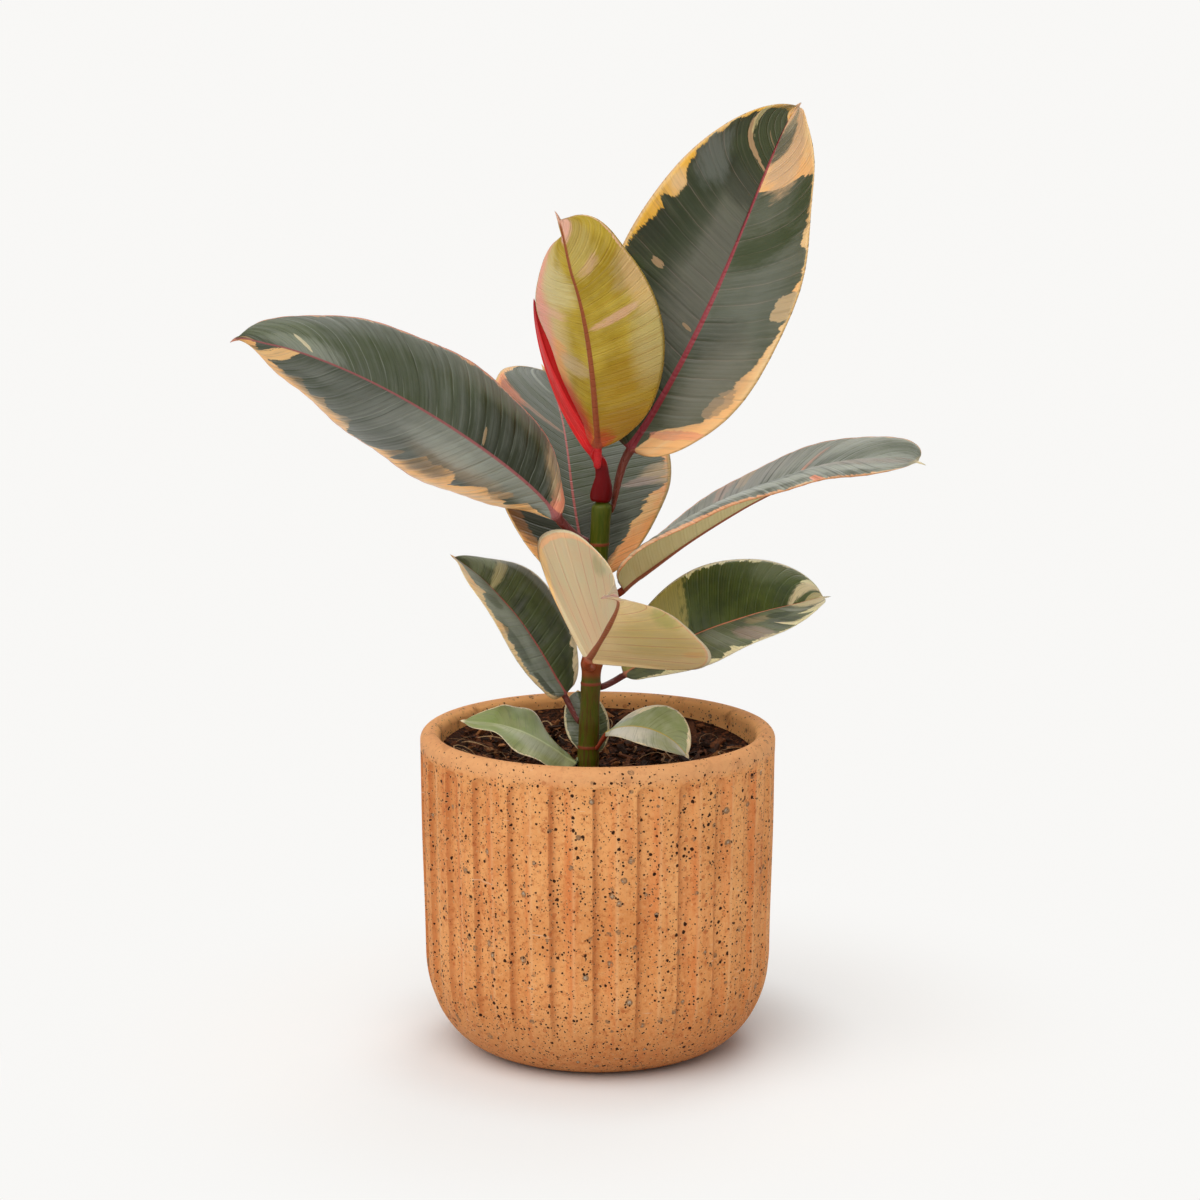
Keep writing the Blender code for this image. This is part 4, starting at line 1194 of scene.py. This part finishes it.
LOOKS = {
    "leaf_young_top": dict(
        greens=((OLIVE, LIME, 0.45), (OLIVE, LIME, 0.5)), jag=0.06, second_margin=PINK, edge=(226, 184, 84),
        rib=RED_BROWN, rib_width=1.3, veins=BEIGE, tip=(0.90, PINK), stalk=(200, 28, 34), seen_below=True,
        below=SAGE, shadow=AMBER,
        borders=([(0, 99), (50, 98), (70, 94), (85, 93), (100, 90)],
                 [(0, 97), (50, 97), (70, 95), (100, 90)]),
        patches=([
            (5, 40, 14, 90, AMBER, 90), (20, 50, 25, 60, (168, 126, 4), 60), (88, 25, 8, 30, STRAW, 25),
            (3, 10, 7, 40, (182, 56, 18), 85), (70, 90, 10, 22, PEACH, 60),
            (60.5, 40, 1.7, 30, PINK, 60, 60), (48, 85, 16, 30, STRAW, 45), (82, 30, 2, 20, PINK, 40, 60),
            (75, 80, 6, 30, BEIGE, 40)], [
            (62, 75, 30, 40, (236, 206, 146), 75), (28, 90, 32, 35, ORANGE, 75, 70),
            (5, 70, 22, 62, SCARLET, 95, 70), (46, 62, 5, 22, ORANGE, 60, 70),
            (41, 32, 4.5, 28, BEIGE, 70, 70), (66, 62, 3, 30, PINK, 60, 70),
            (70, 100, 26, 36, (250, 170, 150), 95, 80), (77, 40, 9, 35, STRAW, 75, 80)])),
    "leaf_upper_right": dict(
        greens=(((42, 48, 24), (66, 74, 42), 0.35), ((74, 80, 56), (98, 102, 84), 0.5)), sheen_and_shade_streaks=(0.1, 0.3),
        pillow_sheen=0.05, margins=((252, 188, 70), (255, 192, 126)), second_margin=(250, 206, 150), edge=PEACH,
        rib=(156, 46, 60), rib_width=1.5, veins=MAUVE, vein_strength=0.3, tip=(0.93, (246, 196, 160)),
        stalk=(112, 46, 26),
        borders=([(0, 98), (34, 97), (42.7, 87), (46.7, 85), (49, 95), (50.3, 76), (53, 78), (55, 80),
                  (58, 89), (66, 94), (76, 95), (83.3, 92), (89.3, 75), (91.7, 53), (90, 30), (86.7, 2)],
                 [(0, 22), (5, 25), (10, 76), (19, 76), (24, 88), (31, 97), (36, 96), (46, 95), (50, 90),
                  (56, 97), (64, 97), (65, 75), (63.3, 53), (60.5, 20), (60.4, 5)]),
        # The grey patches (134, 132, 120) and (132, 128, 114) are painted sheen.
        patches=([
            (84, 40, 8, 40, (92, 96, 64), 60), (40, 16, 20, 34, (134, 132, 120), 52, 95),
            (50, 55, 12, 20, (44, 54, 24), 80), (62, 25, 6, 30, FOREST, 60), (64, 72, 5, 25, SHEEN, 55),
            (79, 40, 10, 50, MOSS, 60, 80), (73.5, 45, 1, 42, TAN, 90, 12),
            (81.5, 75, 1.2, 30, STRAW, 60, 12), (77, 15, 0.3, 15, TAN, 50, 12),
            (25, 12, 0.4, 6, TAN, 70, 12), (34.5, 62, 0.8, 8, TAN, 80, 12), (33, 80, 0.8, 7, MOSS, 80, 12)], [
            (30, 45, 16, 40, SHEEN, 30), (46, 30, 4.5, 40, MOSS, 80, 80), (57, 85, 5, 30, MOSS, 70, 80),
            (14, 76, 3, 12, TAN, 80, 12), (35, 88, 3, 14, BEIGE, 85, 12), (6, 60, 1.2, 40, SALMON, 60, 12),
            (84, 42, 20, 45, (222, 182, 140), 90, 30), (79, 20, 7, 30, SLATE, 90, 50),
            (88, 40, 4, 30, (158, 146, 118), 80, 60), (24, 25, 5, 30, (66, 68, 54), 60),
            (16, 50, 10, 35, (132, 128, 114), 45)])),
    "leaf_upper_left": dict(
        greens=(((66, 72, 56), (84, 90, 74), 0.5), (LEAF_GREEN, SLATE, 0.5)),
        margins=((255, 192, 116), ORANGE), second_margin=(255, 206, 146), edge=SALMON, sheen_and_shade_streaks=(0.18, 0.6),
        pillow_sheen=0.28, rib=(158, 84, 86), rib_width=0.45, veins=SILVER_AND_SHEEN, vein_strength=0.4,
        tip=(0.965, (226, 150, 126)),
        borders=([(0, 35), (5, 50), (10, 30), (12.7, 68), (16, 50), (21.3, 42), (27.3, 75), (29.3, 43),
                  (37, 48), (40, 53), (41.3, 86), (47, 93), (53.3, 95), (55.3, 62), (61.7, 75), (62.7, 53),
                  (66.7, 77), (70, 45), (74, 60), (80.7, 48), (84, 43), (86, 10)],
                 [(0, 30), (6, 90), (20, 98), (100, 97)]),
        patches=([
            (20, 12, 25, 30, SILVER_AND_SHEEN, 70, 95), (50, 25, 20, 20, SHEEN, 40, 95),
            (62, 55, 10, 25, (66, 74, 54), 70), (40, 62, 10, 20, (60, 66, 48), 80),
            (82, 30, 5, 20, (66, 76, 50), 80), (28, 40, 12, 15, TAN, 30),
            (52, 60, 4, 16, (58, 66, 46), 80, 80), (70, 50, 4, 18, (60, 70, 48), 70, 80),
            (34, 25, 10, 12, SILVER_AND_SHEEN, 60), (16.5, 45, 2, 16, TAN, 80, 12), (79, 22, 3, 40, PEACH, 90, 12),
            (50, 50, 10, 30, SHEEN, 40)], [
            (3, 40, 5, 60, SALMON, 90, 12), (11, 70, 5, 45, BEIGE, 70, 50),
            (22, 22, 15, 45, FOREST, 95, 60), (55, 90, 35, 25, SHEEN, 50),
            (45, 40, 12, 50, (60, 68, 42), 50), (72, 15, 8, 22, SILVER_AND_SHEEN, 60), (84, 60, 10, 50, SAGE, 30),
            (97, 40, 2.5, 50, TAN, 80, 60), (72.5, 25, 0.6, 16, CREAM, 60, 12),
            (30.3, 15, 0.4, 10, TAN, 60, 12)])),
    "leaf_back": dict(
        greens=((SLATE, LEAF_GREEN, 0.3), (LEAF_GREEN, SLATE, 0.5)), margins=(ORANGE, ORANGE), jag=0.35,
        second_margin=PEACH, edge=PEACH, rib_width=0.7, veins=SILVER_AND_SHEEN, vein_strength=0.3, stalk=RED_BROWN,
        borders=([(0, 60), (15, 75), (30, 84), (60, 95), (72, 90), (100, 93)],
                 [(0, 30), (5, 40), (10, 62), (22, 76), (30, 82), (35, 95), (100, 93)]),
        patches=([
            (20, 60, 10, 50, FOREST, 80, 60), (68, 45, 1.2, 50, PINK, 40, 60),
            (75, 85, 3, 30, SALMON, 60, 60), (85, 40, 14, 60, SHEEN, 50, 95),
            (79, 40, 2, 50, LEAF_GREEN, 60), (93, 50, 1, 40, SILVER_AND_SHEEN, 60, 70)], [
            (14, 25, 14, 35, FOREST, 90, 60), (41, 95, 5, 24, BEIGE, 75, 60),
            (36, 70, 2, 20, MAUVE, 80, 50)])),
    "leaf_right_long": dict(
        greens=((SLATE, SILVER_AND_SHEEN, 0.5), (SLATE, SILVER_AND_SHEEN, 0.5)), margins=((246, 176, 130), (246, 176, 130)),
        jag=0.12, edge=(240, 160, 110), pillow_sheen=0.4, sheen_and_shade_streaks=(0.25, 0.7), rib=RED_BROWN, rib_width=0.9,
        veins=SILVER_AND_SHEEN, vein_strength=0.8, tip=(0.95, CREAM), stalk=RED_BROWN, below=STRAW, veil=0.85,
        borders=([(0, 96), (50, 98), (100, 95)],
                 [(0, 80), (30, 90), (50, 95), (100, 93)]),
        # The pale grey patch (176, 176, 168) is painted sheen.
        patches=([
            (38, 80, 2, 30, PINK, 70, 50), (45, 90, 2, 25, PEACH, 80, 40),
            (63, 50, 0.6, 30, SALMON, 60, 12), (65, 70, 14, 35, SILVER_AND_SHEEN, 50),
            (45, 70, 10, 30, (176, 176, 168), 70), (85, 50, 10, 50, LEAF_GREEN, 50)], [
            (50, 72, 50, 10, SILVER_AND_SHEEN, 90, 80), (68, 95, 1.2, 12, SALMON, 80, 12),
            (80, 40, 14, 20, MAUVE, 50)])),
    "leaf_right_lower": dict(
        greens=(((82, 98, 32), (50, 66, 16), 0.4), (SAGE, SLATE, 0.45)),
        margins=((255, 244, 196), (255, 244, 196)), jag=0.45, rib=SALMON, rib_width=0.5, tip=(0.93, CREAM),
        veins=SPRING, vein_strength=0.3, pillow_sheen=0.1, sheen_and_shade_streaks=(0.1, 0.3),
        borders=([(0, 97), (80, 97), (88, 60), (90, 95), (100, 90)],
                 [(0, 90), (30, 72), (36, 95), (45, 80), (50, 97), (60, 90), (68, 60), (74, 95), (79, 60),
                  (86, 90), (100, 90)]),
        patches=([
            (10, 60, 24, 300, (192, 182, 104), 92, 15), (80, 85, 8, 30, SAGE, 60),
            (91, 50, 3.5, 50, CREAM, 90, 40), (95, 20, 4, 40, STRAW, 80, 50)], [
            (56, 65, 5, 35, MAUVE, 85, 50), (62, 25, 5, 15, BEIGE, 50, 70), (72, 33, 5, 14, MOSS, 90, 50),
            (75, 70, 3, 20, MOSS, 60, 60), (42, 40, 4, 40, SILVER_AND_SHEEN, 45, 80), (80, 35, 2, 25, SILVER_AND_SHEEN, 70, 70),
            (93, 30, 8, 80, CREAM, 85, 40)])),
    "leaf_left_lower": dict(
        # The left half's pale greys are partly the leaf's own colour and partly painted sheen.
        greens=(((146, 154, 138), (108, 118, 96), 0.45), ((76, 86, 46), FOREST, 0.35)),
        margins=((252, 220, 168), CREAM), jag=0.45, second_margin=PEACH, pillow_sheen=0.3, rib_width=0.5,
        vein_strength=0.5, sheen_and_shade_streaks=(0.25, 0.4),
        borders=([(0, 75), (5, 85), (30, 85), (34, 62), (40, 85), (50, 85), (58, 48), (64, 65), (100, 60)],
                 [(0, 70), (10, 78), (20, 93), (50, 98), (100, 95)]),
        patches=([
            (7, 70, 6, 14, MOSS, 90, 40), (26, 68, 10, 14, MOSS, 70, 50),
            (50, 40, 6, 20, LEAF_GREEN, 70, 60)], [
            (66, 50, 4, 50, STRAW, 50, 70), (88, 50, 6, 60, SAGE, 60), (80, 70, 5, 30, SAGE, 70, 70),
            (50, 90, 30, 12, SHEEN, 70)])),
    "leaf_front": dict(
        greens=(((255, 226, 172), (246, 216, 150), 0.4), ((224, 192, 152), (214, 200, 160), 0.5)), jag=0.35,
        rib=RED_BROWN, rib_width=1.0, veins=(206, 120, 100), vein_strength=0.8, tip=(0.80, PINK),
        sheen_and_shade_streaks=(0.12, 0.25), stalk=(168, 76, 42), seen_below=True, below=(224, 192, 152), veil=0.45,
        shadow=BEIGE,
        borders=([(0, 98), (50, 97), (70, 94), (100, 90)],
                 [(0, 70), (4, 75), (10, 90), (20, 97), (60, 95), (100, 90)]),
        patches=([
            (45, 50, 20, 40, (206, 190, 112), 50), (62, 80, 6, 20, (176, 180, 96), 60),
            (30, 85, 3, 10, ORANGE, 30), (50, 100, 50, 5, (250, 190, 140), 80, 30)], [
            (25, 104, 50, 12, (250, 190, 140), 90, 15), (10, 90, 8, 15, PEACH, 70, 40),
            (60, 70, 5, 15, SPRING, 50, 80)])),
    "leaf_small_left": dict(
        greens=((SPRING, (172, 178, 134), 0.5), (SPRING, (132, 150, 80), 0.45)), jag=0.1,
        margins=(CREAM, CREAM), rib=(180, 190, 140), rib_width=0.4, stalk=SAGE, tip=(0.95, CREAM),
        vein_strength=0.1, pillow_sheen=0.0, groove=0.03,
        borders=([(0, 95), (100, 96)],
                 [(0, 95), (100, 96)]),
        patches=([
            (65, 60, 20, 30, (130, 148, 72), 70), (30, 30, 20, 30, SILVER_AND_SHEEN, 40)], [
            (55, 70, 10, 25, (120, 136, 72), 60)])),
    "leaf_small_right": dict(
        greens=(((152, 164, 112), (176, 184, 142), 0.4), ((176, 180, 150), (206, 202, 188), 0.5)),
        margins=(CREAM, CREAM), rib=LIME, rib_width=0.4, stalk=RED_BROWN, tip=(0.93, CREAM), pillow_sheen=0.0,
        groove=0.05,
        borders=([(0, 50), (30, 55), (42, 75), (50, 95), (80, 95), (90, 50)],
                 [(0, 97), (50, 98), (60, 86), (66, 97), (100, 95)]),
        patches=([
            (20, 60, 12, 30, SILVER_AND_SHEEN, 60, 80), (80, 30, 8, 30, SPRING, 70, 80)], [
            (30, 50, 25, 50, (230, 224, 208), 80, 60), (75, 50, 12, 50, SPRING, 60)])),
    "leaf_small_back": dict(
        greens=(((104, 114, 84), SILVER_AND_SHEEN, 0.4), (LEAF_GREEN, SAGE, 0.5)), margins=(CREAM, CREAM), jag=0.2,
        rib=SAGE, rib_width=0.3, stalk=RED_BROWN, tip=(0.93, PEACH),
        patches=([
            (80, 40, 20, 60, SILVER_AND_SHEEN, 70, 70)], [])),
}

print(len(LOOKS), "looks")

# %% [markdown]
# The mixing goes from the heart outwards: greens, margin, patches, and then all that lies on top
# of them. The other side of the leaf gets the same pattern through a pale veil, as the real one
# does.

# %% Lay out a leaf's pattern
class LeafPattern:
    """The values that a leaf's pattern is mixed from."""

    def __init__(self, wax, leaf):
        self.wax = wax
        self.leaf = leaf
        self.u, self.v = wax.map("blade")
        self.reach = abs(self.v)
        self.right = wax.maths("GREATER_THAN", self.v, 0.0)
        self.drift = wax.cloud(wax.join(self.u * 7.0, self.v * 2.4, leaf["seed"] * 1.7), 1.0, 3.0)
        self.vein = vein_place(leaf, self.u, self.v) + (self.drift - 0.5) * 0.008
        self.streak = self.drawn_out(1.3, 1.3, 9.0)
        self.other_streak = self.drawn_out(0.6, 1.1, 5.0)
        self.fine_streak = self.drawn_out(5.0, 0.8, 2.0)
        self.rag = self.drawn_out(4.0, 7.0, 3.0)

    def drawn_out(self, fineness, across, offset):
        """Noise drawn out along the side veins, different on the two halves."""
        along = self.vein * (self.leaf["ribs"] * fineness)
        side = self.reach * across + self.right * offset
        return self.wax.cloud(self.wax.join(along, side, self.leaf["seed"] * offset), 1.0, 4.0, 0.62)

    def border(self, look):
        """How far a place lies outside the margin's inner border; negative inside it."""
        lines = []
        for points in look["borders"]:
            points = [(u / 100, v / 100) for u, v in points]
            points = [(max(vein_place(self.leaf, u, v), 0.0) if u < 1 else 1.0, v) for u, v in points]
            lines.append(self.wax.curve(self.vein, points))
        ragged = (self.streak - 0.5) * look["jag"] + (self.rag - 0.5) * 0.12
        return self.reach - blend(self.right, *lines) + ragged

    def patch(self, u, v, half_u, half_v, softness):
        """A mask of one patch, drawn out along the veins and ragged at its rim."""
        along = (self.vein - vein_place(self.leaf, u, v)) * (1.0 / half_u)
        across = (self.reach - v) * (1.0 / half_v)
        ragged = 1.3 / (1 + half_u / 0.06)
        out = along * along + across * across + (self.streak - 0.5) * (3.4 * ragged)
        out = out + (self.rag - 0.5) * (2.6 * ragged)
        return out.step(1.0 + softness, 1.0 - softness)

    def lines(self, fineness, low):
        """Thin lines along the veins, or along finer ones between them."""
        part = self.wax.maths("FRACT", self.vein * (self.leaf["ribs"] * fineness))
        return (abs(part - 0.5) * 2.0).step(low, 1.0)


# %% Mix a leaf's wax
def lay_colours(wax, pattern, look):
    """The greens of the heart, the margin and the patches, some of which are painted sheen."""
    clouds = blend(0.5, blend(0.5, pattern.fine_streak, pattern.other_streak), pattern.drift)
    halves = [wax.mix(clouds.step(0.50 - 0.26 * share, 0.76 - 0.26 * share), deep, pale)
              for deep, pale, share in look["greens"]]
    wax.colour = wax.mix(pattern.right, *halves)
    margin = wax.mix(pattern.right, *look["margins"])
    margin = wax.mix(pattern.drift.step(0.45, 0.7), margin, look["second_margin"])
    wax.coat(pattern.border(look).step(-0.012, 0.014), margin)
    for half, patches in zip((1.0 - pattern.right, pattern.right), look["patches"]):
        for u, v, half_u, half_v, colour, strength, *softness in patches:
            sizes = [value / 100 for value in (u, v, half_u, half_v, *(softness or [SOFT]))]
            wax.coat(pattern.patch(*sizes) * half * (strength / 100), colour)


def lay_veins(wax, pattern, look):
    """The veins, painted sheen on the pillows between them, fine streaks of painted sheen and painted shade,
    and the leaf's edge.
    """
    fade = pattern.streak.step(0.36, 0.62) * look["vein_strength"]
    wax.coat(pattern.lines(1, 0.90) * fade, look["veins"])
    # painted sheen on the pillows between the veins
    pillow = (1.0 - pattern.lines(1, 0.0)) * pattern.other_streak.step(0.40, 0.65)
    wax.coat(pillow * look["pillow_sheen"], SHEEN)
    # fine streaks of painted sheen in the veins' colour, and of painted shade
    light, dark = look["sheen_and_shade_streaks"]
    wax.coat(pattern.fine_streak.step(0.50, 0.80) * light, look["veins"])
    wax.coat(pattern.fine_streak.step(0.50, 0.25) * dark, look["shadow"])
    wax.coat((pattern.reach + pattern.rag * 0.02).step(0.975, 0.99), look["edge"])


def lay_rib_and_tip(wax, pattern, look):
    """The midrib, the worn tip and the stalk."""
    across = abs(wax.map("reach")[1])
    off_rib = across - ((1.0 - pattern.u) * look["rib_width"] + 0.12)
    rib = off_rib.step(0.3, -0.1) * pattern.u.step(0.985, 0.95)
    wax.coat(rib * 0.9, look["rib"])
    tip_at, tip_colour = look["tip"]
    worn = (pattern.vein + (pattern.rag - 0.5) * 0.03).step(tip_at - 0.012, tip_at + 0.012)
    tip = wax.maths("MAXIMUM", worn, pattern.u.step(0.95, 0.975))
    wax.coat(tip * (1.0 - rib * pattern.u.step(0.98, 0.94)), tip_colour)
    wax.coat(pattern.u.step(0.012, -0.012), look["stalk"])


def mix_leaf(name, leaf, look):
    wax = Finish(name.replace("_", " "))
    pattern = LeafPattern(wax, leaf)
    lay_colours(wax, pattern, look)
    lay_veins(wax, pattern, look)
    below = wax.tag("underside")
    wax.coat((1.0 - below if look["seen_below"] else below) * look["veil"], look["below"])
    lay_rib_and_tip(wax, pattern, look)
    wax.set(Roughness=blend(pattern.rag, 0.30, 0.44) + below * 0.12, Specular_IOR_Level=0.32)
    wax.let_light_in(1.0, 0.7, 0.3)
    grooves = pattern.lines(1, 0.7) + pattern.lines(4, 0.3) * 0.3
    wax.bump(1.0 - grooves + pattern.rag * 0.3, look["groove"])
    return wax


for name, leaf in LEAVES.items():
    wax = mix_leaf(name, leaf, {**PLAIN, **LOOKS[name]})
    hand_over(name + "_visual", grow_leaf(leaf), wax, name)

# %% [markdown]
# ## The bud
#
# The newest leaf is still rolled up in the bud on top of the stem, and the sheath of the one
# before it stands open behind, like a narrow boat. Both are crimson. They are one piece, shaped
# as a leaf is, with a stalk that swells into the bud.

# %% Grow the bud
def mix_sheath():
    skin = Finish("crimson sheath")
    u, v = skin.map("blade")
    streaks = skin.cloud(skin.join(u * 2.0, v * 7.0), 1.6, 4.0, 0.6)
    skin.colour = skin.mix(streaks.step(0.35, 0.70), (220, 32, 36), (244, 66, 66))
    skin.coat(u.step(0.22, 0.02), (186, 10, 16))
    skin.coat(u.step(-0.02, -0.07), (104, 2, 6))
    skin.coat(u.step(0.75, 1.0) * 0.6, (132, 24, 36))
    skin.set(Roughness=blend(streaks, 0.30, 0.42), Specular_IOR_Level=0.15)
    skin.let_light_in(1.0, 0.3, 0.2)
    skin.bump(streaks, 0.08)
    return skin


hand_over("bud_sheath_visual", grow_leaf(BUD_SHEATH), mix_sheath(), "bud_sheath")

# %% [markdown]
# The plant must not outgrow the CAD model.
